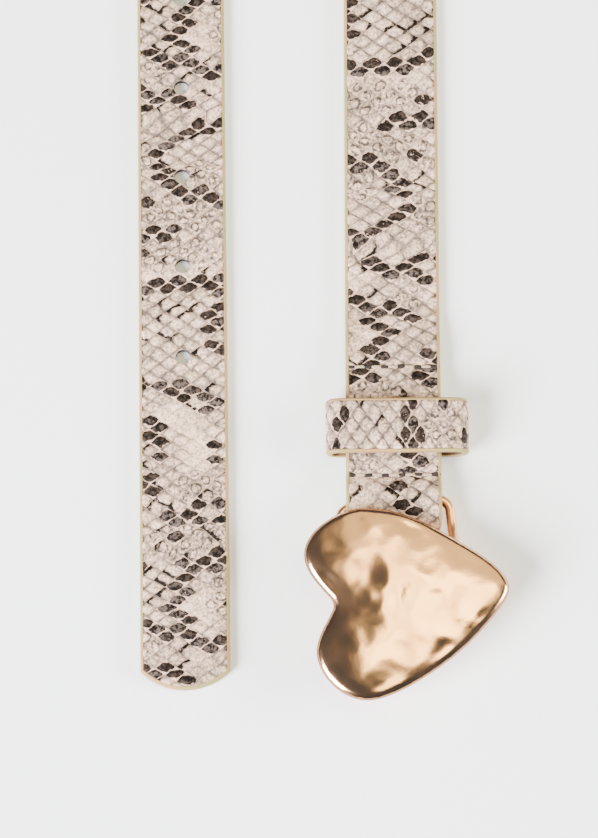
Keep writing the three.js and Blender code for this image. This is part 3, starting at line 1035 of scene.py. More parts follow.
    @staticmethod
    def scale_of(halves: np.ndarray) -> tuple[np.ndarray, np.ndarray, np.ndarray]:
        """Finds the scales that places lie on.

        Args:
            halves: Rows of places across and along the print, in half scales.

        Returns:
            The scales' columns and rows in half scales, and the places within the scales.
        """
        total = 2 * np.round((halves[:, 0] + halves[:, 1] - 1) / 2) + 1
        apart = 2 * np.round((halves[:, 0] - halves[:, 1] - 1) / 2) + 1
        column = (total + apart) / 2
        row = (total - apart) / 2
        return column, row, halves - np.stack([column, row], axis=1)

    def patch_share(self, patches: tuple[Patch, ...], along: np.ndarray, across: np.ndarray) -> np.ndarray:
        """Tells how far places are inside a kind of patch.

        Args:
            patches: The patches.
            along: The places along the print.
            across: The places across it.

        Returns:
            From 0 outside to 1 well inside.
        """
        share = np.zeros(len(along))
        for patch in patches:
            away = (along - patch.along + self.repeat / 2) % self.repeat - self.repeat / 2
            reach = np.hypot(away / patch.half_length, (across - patch.across) / patch.half_width)
            share = np.maximum(share, smoothstep(-reach, -1.15, -0.75))
        return share


@dataclass
class PrintLay:
    """How the print lies on the strap: its place along and across, against the way along."""

    route: StrapRoute
    snake: SnakePrint
    straight_until: float = 200.0
    even_run: float = 144.0
    rate: float = 0.915
    buckle_print: float = 177.0
    buckle_run: float = 46.2
    steps: int = 4000
    fitted_runs: tuple[float, float] = (-3.4, 180.0)
    fitted_steps: int = 400
    leads: tuple[tuple[float, float], ...] = (
        (-4.0, 3.0), (8.0, 2.8), (31.0, 1.6), (42.0, 1.15), (52.0, 1.1), (64.0, 0.7), (115.0, 0.55),
    )
    tip_shifts: tuple[tuple[float, float], ...] = (
        (4.0, 0.3), (12.0, 0.9), (23.0, 1.1), (34.0, -0.7), (42.0, 0.9), (47.0, 1.4), (54.0, -0.1),
        (62.0, -0.5), (71.0, -0.8), (76.0, 0.4), (81.0, -0.6), (92.0, -0.8), (98.0, -2.0),
        (104.0, -1.4), (112.0, -1.1), (122.0, 0.9), (126.0, 0.7), (131.0, -1.1), (138.0, -0.3),
        (146.0, -1.3), (154.5, -1.2), (159.5, 2.3), (168.0, 2.4), (175.0, 3.2), (182.0, 2.5),
        (188.0, 1.5), (200.0, 1.8),
    )
    buckle_shifts: tuple[tuple[float, float], ...] = (
        (-3.4, 3.6), (8.0, 5.0), (33.0, 4.7), (38.0, 5.4), (44.0, 6.0), (52.0, 6.3), (65.5, 5.8),
        (71.0, 2.2), (79.3, 1.6), (84.0, 1.8), (89.0, 3.2), (93.5, 2.0), (100.0, 4.0), (106.0, 4.2),
        (119.0, 2.1), (133.0, 1.1), (144.0, 2.0),
    )
    softening: int = 13

    def __post_init__(self) -> None:
        """Fits the print's place along the strap, and its place across."""
        self.way = np.linspace(0.0, self.route.total, self.steps)
        runs = np.linspace(*self.fitted_runs, self.fitted_steps)
        ways = np.array([self.route.along_at_run(float(run)) for run in runs])
        lead = np.interp(runs, *zip(*self.leads))
        printed = self.buckle_print + (self.buckle_run - runs + lead) * self.rate
        even_from = float(np.interp(self.even_run, runs, ways))
        end = float(np.interp(self.even_run, runs, printed))
        repeats = round((even_from - end) / self.snake.repeat)
        printed = printed + repeats * self.snake.repeat
        end += repeats * self.snake.repeat
        span = even_from - self.straight_until
        share = np.clip((self.way - self.straight_until) / span, 0.0, 1.0)
        cubic = (
            (2 * share**3 - 3 * share**2 + 1) * self.straight_until
            + (share**3 - 2 * share**2 + share) * span
            + (3 * share**2 - 2 * share**3) * end
            + (share**3 - share**2) * span * self.rate
        )
        beyond = np.maximum(self.way - ways[0], 0.0) * self.rate
        after = np.interp(self.way, ways[::-1], printed[::-1]) + beyond
        self.placed = np.where(self.way < self.straight_until, self.way, cubic)
        self.placed = np.where(self.way > even_from, after, self.placed)
        table = list(self.tip_shifts)
        for run, shift in reversed(self.buckle_shifts):
            table.append((self.route.along_at_run(run), shift))
        rough = np.interp(self.way, *zip(*table))
        padded = np.pad(rough, self.softening, mode="edge")
        window = np.ones(self.softening) / self.softening
        self.shifted = np.convolve(padded, window, mode="same")[self.softening : -self.softening]

    def way_at(self, printed: np.ndarray) -> np.ndarray:
        """Gives the way along the strap for places along the print."""
        return np.interp(printed, self.placed, self.way)

    def shift_at(self, way: np.ndarray) -> np.ndarray:
        """Gives how far the print lies to the right, for ways along the strap."""
        return np.interp(way, self.way, self.shifted)


@dataclass
class ScaleRelief:
    """The embossed relief of the scales."""

    cuts: int = 3
    rings: tuple[float, ...] = (0.0, 0.42, 0.7, 0.87, 1.0)
    roundness: float = 1.3
    fullness: float = 1.13
    looseness: float = 0.55
    faded_share: float = 0.5
    faded_height: float = 0.14
    profile: tuple[tuple[float, float], ...] = (
        (0.0, 0.34), (0.45, 0.32), (0.7, 0.27), (0.87, 0.17), (0.97, 0.03), (1.05, 0.0),
    )

    def lattice(self, snake: SnakePrint, width: float, start: float, end: float) -> bmesh.types.BMesh:
        """Makes a sheet of embossed scales.

        Args:
            snake: The print whose lattice it is.
            width: How wide the sheet is at least.
            start: Where it starts along the print.
            end: Where it ends.

        Returns:
            The mesh, laid across and along the print.
        """
        across = 2 * math.ceil(width / 2 / snake.scale_width)
        low = math.floor(start / snake.scale_length)
        high = math.ceil(end / snake.scale_length)
        mesh = bmesh.new()
        bmesh.ops.create_grid(mesh, x_segments=across, y_segments=high - low, size=0.5)
        bmesh.ops.translate(mesh, verts=mesh.verts, vec=(0, 0.5, 0))
        size = (across * snake.scale_width, (high - low) * snake.scale_length, 1.0)
        bmesh.ops.scale(mesh, verts=mesh.verts, vec=size)
        bmesh.ops.translate(mesh, verts=mesh.verts, vec=(0, low * snake.scale_length, 0))
        squares = [e for e in mesh.edges if not e.is_boundary]
        bmesh.ops.poke(mesh, faces=mesh.faces[:])
        bmesh.ops.dissolve_edges(mesh, edges=squares, use_verts=False)
        scales = [f for f in mesh.faces if len(f.verts) == 4]
        bmesh.ops.poke(mesh, faces=scales)
        bmesh.ops.subdivide_edges(mesh, edges=mesh.edges[:], cuts=self.cuts, use_grid_fill=True)
        self.emboss(mesh, snake)
        scale_map = mesh.loops.layers.uv.new("scale")
        mesh.verts.index_update()
        halves = snake.halves(read_places(mesh))
        for face in mesh.faces:
            for loop in face.loops:
                loop[scale_map].uv = halves[loop.vert.index]
        self.loosen(mesh, snake)
        return mesh

    def emboss(self, mesh: bmesh.types.BMesh, snake: SnakePrint) -> None:
        """Raises every scale from the grooves between them.

        Args:
            mesh: The finely cut sheet of flat scales.
            snake: The print whose lattice it is.
        """
        places = read_places(mesh)
        column, row, inside = snake.scale_of(snake.halves(places))
        reach = np.abs(inside).sum(axis=1)
        even = np.linspace(0.0, 1.0, len(self.rings))
        wider = np.interp(reach, even, self.rings) / np.maximum(reach, 1e-6)
        moved = inside * wider[:, None]
        places[:, 0] = (column + moved[:, 0]) * snake.scale_width / 2
        places[:, 1] = (row + moved[:, 1]) * snake.scale_length / 2
        power = self.roundness
        rounded = (np.abs(moved) ** power).sum(axis=1) ** (1 / power) * self.fullness
        radii, heights = zip(*self.profile)
        places[:, 2] = np.interp(rounded, radii, heights)
        faded = snake.patch_share(snake.smooth, places[:, 1], places[:, 0])
        places[:, 2] *= 1 - self.faded_share * faded
        places[:, 2] += self.faded_height * faded
        write_places(mesh, places)

    def loosen(self, mesh: bmesh.types.BMesh, snake: SnakePrint) -> None:
        """Pulls the lattice out of true, as the scales of a real skin are.

        Args:
            mesh: The embossed sheet.
            snake: The print, for the length that it repeats after.
        """
        places = read_places(mesh)
        along = 2 * math.pi * places[:, 1] / snake.repeat
        across = 2 * math.pi * places[:, 0]
        sideways = 0.2 * np.sin(11 * along + across / 9.1)
        sideways += 0.13 * np.sin(23 * along - across / 6.3 + 1.3)
        lengthways = 0.2 * np.sin(13 * along - across / 8.3)
        lengthways += 0.13 * np.sin(31 * along + across / 5.7 + 0.6)
        places[:, 0] += self.looseness * sideways
        places[:, 1] += self.looseness * lengthways
        places[:, 1] += np.interp(places[:, 1] % snake.repeat, *zip(*snake.pulls))
        write_places(mesh, places)


@dataclass
class SkinMarker:
    """Writes the print's marks on a skin's faces, and hooks on some of its light scales."""

    snake: SnakePrint
    hooked_alone: float = 0.04
    hooked_near_ink: float = 0.14
    hooked_in_patch: float = 0.4

    def scale_values(self, row: int, column: int) -> list[float]:
        """Gives the values of one scale.

        Args:
            row: Its row along the print.
            column: Its place across, in half scales.

        Returns:
            A value for each of SKIN_VALUES.
        """
        snake = self.snake
        chance = random.Random(snake.seed * 1000003 + row * 1009 + column)
        mark = snake.mark_at(row, column)
        along = np.array([row * snake.scale_length / 2])
        across = np.array([column * snake.scale_width / 2])
        wedged, ringed, smooth = (
            float(snake.patch_share(patches, along, across)[0])
            for patches in (snake.wedged, snake.ringed, snake.smooth)
        )
        likely = self.hooked_near_ink if snake.near_ink(row, column) else self.hooked_alone
        likely = max(likely, self.hooked_in_patch * wedged)
        hooked = mark in (Mark.HOOKED, Mark.BROKEN) or (mark is None and chance.random() < likely)
        return [chance.random(), mark.value if mark else 0.0, float(hooked), ringed, smooth]

    def mark(self, data: bpy.types.Mesh) -> None:
        """Writes each face's values, and turns the map into places within the scales.

        Args:
            data: The skin's mesh, whose map holds the places on the lattice in half scales.
        """
        starts = np.empty(len(data.polygons), dtype=np.int32)
        data.polygons.foreach_get("loop_start", starts)
        totals = np.empty(len(data.polygons), dtype=np.int32)
        data.polygons.foreach_get("loop_total", totals)
        own = np.empty(2 * len(data.loops), dtype=np.float32)
        data.uv_layers["scale"].uv.foreach_get("vector", own)
        own = own.reshape(-1, 2)
        middles = np.add.reduceat(own.astype(np.float64), starts, axis=0) / totals[:, None]
        column, row, _ = self.snake.scale_of(middles)
        keys, which = np.unique(np.stack([row, column], axis=1), axis=0, return_inverse=True)
        values = np.array([self.scale_values(int(r), int(c)) for r, c in keys])
        for name, numbers in zip(SKIN_VALUES, values[which.ravel()].T):
            made = data.attributes.new(name, "FLOAT", "FACE")
            made.data.foreach_set("value", np.ascontiguousarray(numbers))
        middle = np.repeat(np.stack([column, row], axis=1), totals, axis=0)
        data.uv_layers["scale"].uv.foreach_set("vector", (own - middle).astype(np.float32).ravel())


# The strap


@dataclass
class SewnRows:
    """Where the two sewn rows that hold the folded end lie."""

    runs: tuple[float, ...] = (36.7, 7.4)
    pitch: float = 4.1
    per_row: int = 5

    def stitch_places(self) -> list[float]:
        """Lists the stitches' middles across the strap."""
        return [(i - (self.per_row - 1) / 2) * self.pitch for i in range(self.per_row)]

    def hole_places(self) -> list[float]:
        """Lists the needle holes across the strap."""
        return [(i - self.per_row / 2) * self.pitch for i in range(self.per_row + 1)]


@dataclass
class Strap:
    """The strap: its embossed skin, its painted leather and its punched holes."""

    route: StrapRoute
    sewn: SewnRows
    lay: PrintLay
    relief: ScaleRelief
    band: float = 0.75
    band_steps: int = 4
    back_bevel: float = 0.3
    recess: float = 0.5
    recess_wall: float = 0.05
    skin_base: float = 2.12
    skirt: float = 0.55
    tip_depth: float = 4.9
    tip_cuts: int = 24
    hole_count: int = 5
    hole_pitch: float = 25.0
    first_hole: float = 89.3
    hole_radius: float = 2.0
    hole_sides: int = 24
    row_dip: float = 0.1
    row_reach: float = 1.0
    hole_dip: float = 0.26
    hole_reach: float = 0.85
    row_half: float = 10.4
    hole_zone: float = 7.0
    spare_width: float = 14.0
    spare_scales: int = 3
    end_gap: float = 0.6
    back_steps: int = 2
    punch_length: float = 8.0
    tip_zone: float = 40.0
    fold_zone: float = 30.0
    bend_steps: tuple[float, ...] = (8.0, 2.5, 6.0, 0.8, 0.4)
    straight_end: float = 250.0
    raised_length: float = 64.0
    fold_start: float = 2.0
    fold_length: float = 18.0
    fold_before: float = 6.0
    fold_step: float = 0.9
    fold_creases: int = 26

    def holes(self) -> list[float]:
        """Lists the holes' distances from the tip."""
        return [self.first_hole + self.hole_pitch * i for i in range(self.hole_count)]

    def round_tip(self, mesh: bmesh.types.BMesh, inset: float, reach: float = 0.0) -> None:
        """Cuts the flat strip's end round.

        Args:
            mesh: The flat strip.
            inset: How far inside the strap's outline the cut lies.
            reach: How far from the cut a face may lie to be cut, or 0 for the whole mesh.
        """
        half = self.route.tip_width / 2
        radius = (half * half + self.tip_depth * self.tip_depth) / (2 * self.tip_depth)
        limit = math.asin(half / radius)
        for i in range(self.tip_cuts + 1):
            angle = limit * (2 * i / self.tip_cuts - 1)
            outwards = Vector((math.sin(angle), -math.cos(angle), 0.0))
            centre = Vector((0.0, radius, 0.0))
            cut_across(mesh, centre + outwards * (radius - inset), outwards, clear=True, reach=reach)

    def punch(self, mesh: bmesh.types.BMesh) -> None:
        """Cuts the holes out of the flat skin.

        Args:
            mesh: The flat skin.
        """
        for distance in self.holes():
            centre = Vector((0.0, distance, 0.0))
            apart = {f: (f.calc_center_median().xy - centre.xy).length for f in mesh.faces}
            near = [f for f in mesh.faces if apart[f] < self.hole_zone]
            cutters = []
            for i in range(self.hole_sides):
                angle = 2 * math.pi * i / self.hole_sides
                outwards = Vector((math.cos(angle), math.sin(angle), 0.0))
                cutters.append((centre + outwards * self.hole_radius, outwards))
            for at, facing in cutters:
                near = [f for f in near if f.is_valid]
                near = with_corners(near)
                made = bmesh.ops.bisect_plane(mesh, geom=near, dist=1e-5, plane_co=at, plane_no=facing)
                near = [g for g in made["geom"] if isinstance(g, bmesh.types.BMFace)]
            inside = [
                f
                for f in near
                if all((f.calc_center_median() - at).dot(facing) < 0 for at, facing in cutters)
            ]
            bmesh.ops.delete(mesh, geom=inside, context="FACES")

    def turn_down(self, mesh: bmesh.types.BMesh) -> None:
        """Turns the skin's outline and the holes' rims down into the leather."""
        rim = [e for e in mesh.edges if e.is_boundary]
        shift_new(mesh, bmesh.ops.extrude_edge_only(mesh, edges=rim), (0.0, 0.0, -self.skirt))

    def pull_in(self, mesh: bmesh.types.BMesh) -> None:
        """Draws the flat skin down where the thread holds it.

        Args:
            mesh: The flat skin.
        """
        places = read_places(mesh)
        for run in self.sewn.runs:
            beside = places[:, 1] - self.route.along_at_run(run)
            past = np.clip(np.abs(places[:, 0]) - self.row_half, 0.0, None)
            places[:, 2] -= self.row_dip * np.exp(-((beside / self.row_reach) ** 2) - past**2)
            for middle in self.sewn.hole_places():
                away = np.hypot(places[:, 0] - middle, beside)
                places[:, 2] -= self.hole_dip * np.exp(-((away / self.hole_reach) ** 2))
        write_places(mesh, places)

    def onto_strap(self, printed: np.ndarray) -> np.ndarray:
        """Moves places of the print to where the strap has them.

        Args:
            printed: Rows of places on the print, whose rows already slant.

        Returns:
            Rows of places on the flat strap.
        """
        along = printed[:, 1]
        beyond = np.minimum(along - self.lay.placed[0], 0.0) + np.maximum(along - self.lay.placed[-1], 0.0)
        ways = self.lay.way_at(along) + beyond
        return np.stack([printed[:, 0] + self.lay.shift_at(ways), ways, printed[:, 2]], axis=1)

    def build_skin(self, finish: Snakeskin) -> bpy.types.Object:
        """Makes the embossed skin.

        Args:
            finish: Its finish.

        Returns:
            The skin's object.
        """
        snake = self.lay.snake
        route = self.route
        spare = self.spare_scales * snake.scale_length
        end = float(self.lay.placed[-1]) + spare
        mesh = self.relief.lattice(snake, route.tip_width + self.spare_width, -spare, end)
        places = read_places(mesh)
        places[:, 1] += places[:, 0] * snake.slant
        write_places(mesh, places)
        write_places(mesh, self.onto_strap(read_places(mesh)))
        trim_sides(mesh, route.tip_width / 2 - self.band)
        crease(mesh, route.total - self.end_gap, clear=True)
        self.round_tip(mesh, self.band, reach=self.tip_zone)
        for i in range(self.fold_creases):
            crease(mesh, route.bar_at - self.fold_before + self.fold_step * i, reach=self.fold_zone)
        self.punch(mesh)
        bmesh.ops.translate(mesh, verts=mesh.verts, vec=(0, 0, self.skin_base))
        self.turn_down(mesh)
        self.pull_in(mesh)
        route.lay_mesh(mesh)
        skin = finish_piece(mesh, "strap_skin", Body.BELT, Slot.SNAKESKIN, finish)
        SkinMarker(snake).mark(skin.data)
        return skin

    def leather_block(self) -> bmesh.types.BMesh:
        """Makes the flat leather with its rounded edges and the recess that holds the skin.

        Returns:
            The mesh. Its faces are numbered 0 for paint and 1 for the plain back.
        """
        route = self.route
        mesh = bmesh.new()
        bmesh.ops.create_grid(mesh, x_segments=1, y_segments=1, size=0.5)
        bmesh.ops.translate(mesh, verts=mesh.verts, vec=(0, 0.5, 0))
        bmesh.ops.scale(mesh, verts=mesh.verts, vec=(route.tip_width, route.total, 1))
        self.round_tip(mesh, 0.0)
        raised = bmesh.ops.extrude_face_region(mesh, geom=mesh.faces[:])
        shift_new(mesh, raised, (0, 0, route.thickness))
        bmesh.ops.recalc_face_normals(mesh, faces=mesh.faces[:])
        top_edge = (route.thickness, self.band, self.band_steps)
        for height, size, steps in (top_edge, (0.0, self.back_bevel, self.back_steps)):
            outline = [
                e
                for e in mesh.edges
                if all(abs(v.co.z - height) < 1e-4 for v in e.verts)
                and any(abs(f.normal.z) > 0.9 for f in e.link_faces)
                and any(abs(f.normal.z) < 0.1 for f in e.link_faces)
            ]
            round_edges(mesh, outline, size, steps)
        for face in mesh.faces:
            face.material_index = 1 if face.normal.z < -0.99 else 0
        top = [f for f in mesh.faces if f.normal.z > 0.99]
        wall = self.recess_wall
        bmesh.ops.inset_region(mesh, faces=top, thickness=wall, depth=0.0, use_even_offset=True)
        top = [f for f in mesh.faces if f.normal.z > 0.99 and f.calc_area() > 100]
        sink(mesh, top, self.recess)
        return mesh

    def punch_leather(self, mesh: bmesh.types.BMesh) -> bmesh.types.BMesh:
        """Cuts the holes through the flat leather.

        Args:
            mesh: The flat leather. It is freed.

        Returns:
            The punched leather. The holes' walls are numbered 2.
        """
        punches = bmesh.new()
        for distance in self.holes():
            middle = Vector((0, distance, 0))
            add_post(punches, middle, self.hole_radius, self.punch_length, self.hole_sides)
        pair = [add_mesh("leather_blank", mesh), add_mesh("hole_punches", punches)]
        cut = pair[0].modifiers.new("punch", "BOOLEAN")
        cut.operation = "DIFFERENCE"
        cut.solver = "EXACT"
        cut.object = pair[1]
        punched = shaped(pair[0])
        for blank in pair:
            bpy.data.meshes.remove(blank.data)
        middles = [Vector((0.0, distance)) for distance in self.holes()]
        for face in punched.faces:
            place = face.calc_center_median().xy
            if any((place - middle).length < self.hole_radius for middle in middles):
                face.material_index = 2
        return punched

    def bend_lines(self) -> list[float]:
        """Lists where the flat leather gets a crease line so that it can bend."""
        route = self.route
        tip_leg, bend, buckle_leg, raised, fold = self.bend_steps
        before_raised = route.bar_at - self.raised_length
        before_fold = route.bar_at - self.fold_start
        stops = (
            (tip_leg, route.flat_tip_leg, tip_leg),
            (route.flat_tip_leg, route.total - self.straight_end, bend),
            (route.total - self.straight_end, before_raised, buckle_leg),
            (before_raised, before_fold, raised),
            (before_fold, route.bar_at + self.fold_length, fold),
        )
        lines = []
        for start, end, step in stops:
            lines += list(np.arange(start, end, step))
        return lines

    def build_leather(self, paint: PaintedEdge, backing: Backing, core: PunchedWall) -> bpy.types.Object:
        """Makes the leather under the skin, with its painted edges and plain back.

        Args:
            paint: The edges' finish.
            backing: The back's finish.
            core: The finish of the punched holes' walls.

        Returns:
            The leather's object.
        """
        mesh = self.punch_leather(self.leather_block())
        for line in self.bend_lines():
            crease(mesh, line)
        self.route.lay_mesh(mesh)
        return finish_piece(mesh, "strap_leather", Body.BELT, Slot.PAINTED_EDGE, paint, backing, core)


@dataclass
class Stitching:
    """The two sewn rows that hold the folded end."""

    route: StrapRoute
    sewn: SewnRows
    length: float = 2.1
    yarn: float = 0.4
    arch: float = 0.06
    dive: float = 0.7
    surface: float = 2.38
    arch_steps: int = 9
    yarn_sides: int = 8
    hole_radius: float = 0.55
    hole_sink: float = 0.16
    hole_shift: float = 0.15
    hole_lengths: tuple[float, float] = (1.6, 2.7)
    hole_widths: tuple[float, float] = (0.75, 1.25)
    hole_depth: float = 0.35
    seed: int = 5

    def build(self, thread: Thread, hole: NeedleHoleShade) -> bpy.types.Object:
        """Makes the stitches, and dark blobs of painted shade at the needle holes between them.

        Args:
            thread: The thread's finish.
            hole: The painted shade of the needle holes.

        Returns:
            The stitching's object.
        """
        mesh = bmesh.new()
        for run in self.sewn.runs:
            way = self.route.along_at_run(run)
            for middle in self.sewn.stitch_places():
                route = []
                for share in np.linspace(-1.0, 1.0, self.arch_steps):
                    height = self.surface + self.arch - self.dive * share**4
                    route.append(Vector((middle + share * self.length / 2, way, height)))
                draw_along(mesh, route, self.yarn, self.yarn_sides)
        yarn_faces = set(mesh.faces)
        chance = random.Random(self.seed)
        # Dark blobs of painted shade, where the needle holes lie in shade.
        for run in self.sewn.runs:
            way = self.route.along_at_run(run)
            for middle in self.sewn.hole_places():
                beside = way + chance.uniform(-self.hole_shift, self.hole_shift)
                at = Matrix.Translation((middle, beside, self.surface - self.hole_sink))
                torn = (chance.uniform(*self.hole_lengths), chance.uniform(*self.hole_widths))
                turned = at @ Matrix.Diagonal((*torn, self.hole_depth, 1.0))
                size = self.hole_radius
                bmesh.ops.create_uvsphere(mesh, u_segments=12, v_segments=6, radius=size, matrix=turned)
        for face in mesh.faces:
            if face not in yarn_faces:
                face.material_index = 1
        self.route.lay_mesh(mesh)
        return finish_piece(mesh, "stitching", Body.BELT, Slot.THREAD, thread, hole)


# The keeper


@dataclass
class Keeper:
    """The fixed loop: a band of the same leather bent to a flattened ring round the strap."""

    relief: ScaleRelief
    width: float = 37.8
    height: float = 7.8
    wall: float = 1.7
    band: float = 14.7
    x: float = 25.9
    y: float = -3.75
    bottom: float = 1.6
    edge: float = 0.8
    edge_steps: int = 4
    back_bevel: float = 0.3
    back_steps: int = 2
    recess: float = 0.45
    skin_depth: float = 0.28
    skirt: float = 0.4
    creases: int = 119
    spare_width: float = 10.0
    turns: int = 21

    @property
    def around(self) -> float:
        """The outer length of the ring."""
        return 2 * (self.width - self.height) + math.pi * self.height

    def lay(self, flat: np.ndarray) -> np.ndarray:
        """Lays flat places on the ring.

        Args:
            flat: Rows of the way round from the middle of the underside, the way across the
                band, and the way out from the ring's outer face, which is negative inside.

        Returns:
            Rows of places in metres.
        """
        radius = self.height / 2
        straight = self.width - self.height
        lap = straight + math.pi * radius
        start = (flat[:, 0] + straight / 2) % (2 * lap)
        side = np.where(start < lap, 1.0, -1.0)
        way = start % lap
        angle = np.maximum(way - straight, 0.0) / radius
        out = radius + flat[:, 2]
        x = side * (np.minimum(way, straight) - straight / 2 + np.sin(angle) * out)
        z = -side * np.cos(angle) * out
        places = np.stack([x, flat[:, 1], z], axis=1) + np.array([self.x, self.y, self.bottom + radius])
        return (places - np.array(BELT_MIDDLE)) * METRES

    def build_skin(self, finish: Snakeskin) -> bpy.types.Object:
        """Makes the ring's embossed skin, with the print turned a quarter.

        Args:
            finish: Its finish.

        Returns:
            The skin's object.
        """
        turned = SnakePrint(
            scale_width=5.8,
            rows_per_repeat=2 * self.turns,
            repeat=self.around,
            slant=0.0,
            inked=(
                InkedRow(3, (0,)), InkedRow(6, (1,)), InkedRow(12, (1,)), InkedRow(13, hooked=(-2,)),
                InkedRow(15, (-2,)), InkedRow(18, broken=(1,)), InkedRow(19, (-2, 0, 2)),
                InkedRow(20, broken=(-1, 1)), InkedRow(27, hooked=(-2,)), InkedRow(28, (-1,)),
                InkedRow(29, (0, 2)), InkedRow(35, (0,)), InkedRow(36, (-1,)),
            ),
            ringed=(Patch(31.0, 0.0, 4.5, 7.0),),
            smooth=(),
            pulls=((0.0, 0.0), (1.0, 0.0)),
            seed=23,
        )
        mesh = self.relief.lattice(turned, self.band + self.spare_width, 0.0, self.around - 0.01)
        half = self.band / 2 - self.edge
        trim_sides(mesh, half)
        bmesh.ops.translate(mesh, verts=mesh.verts, vec=(0, 0, -self.skin_depth))
        rim = [e for e in mesh.edges if e.is_boundary]
        sides = [e for e in rim if all(abs(abs(v.co.x) - half) < 1e-3 for v in e.verts)]
        shift_new(mesh, bmesh.ops.extrude_edge_only(mesh, edges=sides), (0, 0, -self.skirt))
        flat = read_places(mesh)
        way = np.clip(flat[:, 1], 1e-6, self.around - 1e-6)
        write_places(mesh, self.lay(np.stack([way, -flat[:, 0], flat[:, 2]], axis=1)))
        skin = finish_piece(mesh, "keeper_skin", Body.BELT, Slot.SNAKESKIN, finish)
        SkinMarker(turned).mark(skin.data)
        return skin

    @staticmethod
    def open_ends(mesh: bmesh.types.BMesh) -> None:
        """Takes the faces at the flat band's ends away, where the ring closes."""
        ends = [f for f in mesh.faces if abs(f.normal.x) > 0.9]
        bmesh.ops.delete(mesh, geom=ends, context="FACES_ONLY")

    def build_leather(self, paint: PaintedEdge, backing: Backing) -> bpy.types.Object:
        """Makes the ring's leather, with painted edges and a plain inside.

        Args:
            paint: The edges' finish.
            backing: The inside's finish.

        Returns:
            The leather's object.
        """
        mesh = bmesh.new()
        bmesh.ops.create_cube(mesh, size=1.0)
        bmesh.ops.translate(mesh, verts=mesh.verts, vec=(0.5, 0, -0.5))
        bmesh.ops.scale(mesh, verts=mesh.verts, vec=(self.around, self.band, self.wall))
        self.open_ends(mesh)
        rounded = ((0.0, self.edge, self.edge_steps), (-self.wall, self.back_bevel, self.back_steps))
        for side, size, steps in rounded:
            outline = [
                e
                for e in mesh.edges
                if all(abs(v.co.z - side) < 1e-4 for v in e.verts)
                and abs(e.verts[0].co.y - e.verts[1].co.y) < 1e-4
            ]
            round_edges(mesh, outline, size, steps)
        top = [f for f in mesh.faces if f.normal.z > 0.99 and f.calc_area() > 100]
        for face in mesh.faces:
            face.material_index = 1 if face.normal.z < -0.99 else 0
        sink(mesh, top, self.recess)
        self.open_ends(mesh)
        for line in np.linspace(0.0, self.around, self.creases + 2)[1:-1]:
            cut_across(mesh, Vector((float(line), 0, 0)), Vector((1, 0, 0)))
        flat = read_places(mesh)
        flat[:, 0] = np.clip(flat[:, 0], 1e-6, self.around - 1e-6)
        write_places(mesh, self.lay(flat))
        bmesh.ops.remove_doubles(mesh, verts=mesh.verts, dist=1e-6)
        bmesh.ops.recalc_face_normals(mesh, faces=mesh.faces[:])
        return finish_piece(mesh, "keeper_leather", Body.BELT, Slot.PAINTED_EDGE, paint, backing)


# The buckle


@dataclass(frozen=True)
class Knot:
    """One knot of the heart's outline, with its heading in degrees and its handles' lengths."""

    x: float
    y: float
    heading: float
    before: float
    after: float


@dataclass
class BucklePlace:
    """Where the buckle sits and how it is turned."""

    bar: tuple[float, float] = BAR
    turn: float = math.radians(4.9)

    def spot(self, along_bar: float, from_bar: float, height: float) -> Vector:
        """Gives a place from its way along the bar, away from it, and up.

        Args:
            along_bar: The way along the bar, to the right.
            from_bar: The way from the bar towards the plate.
            height: The height above the floor.

        Returns:
            The place, in millimetres.
        """
        along = Vector((math.cos(self.turn), math.sin(self.turn), 0.0))
        away = Vector((math.sin(self.turn), -math.cos(self.turn), 0.0))
        start = Vector((self.bar[0], self.bar[1], height))
        return start + along * along_bar + away * from_bar


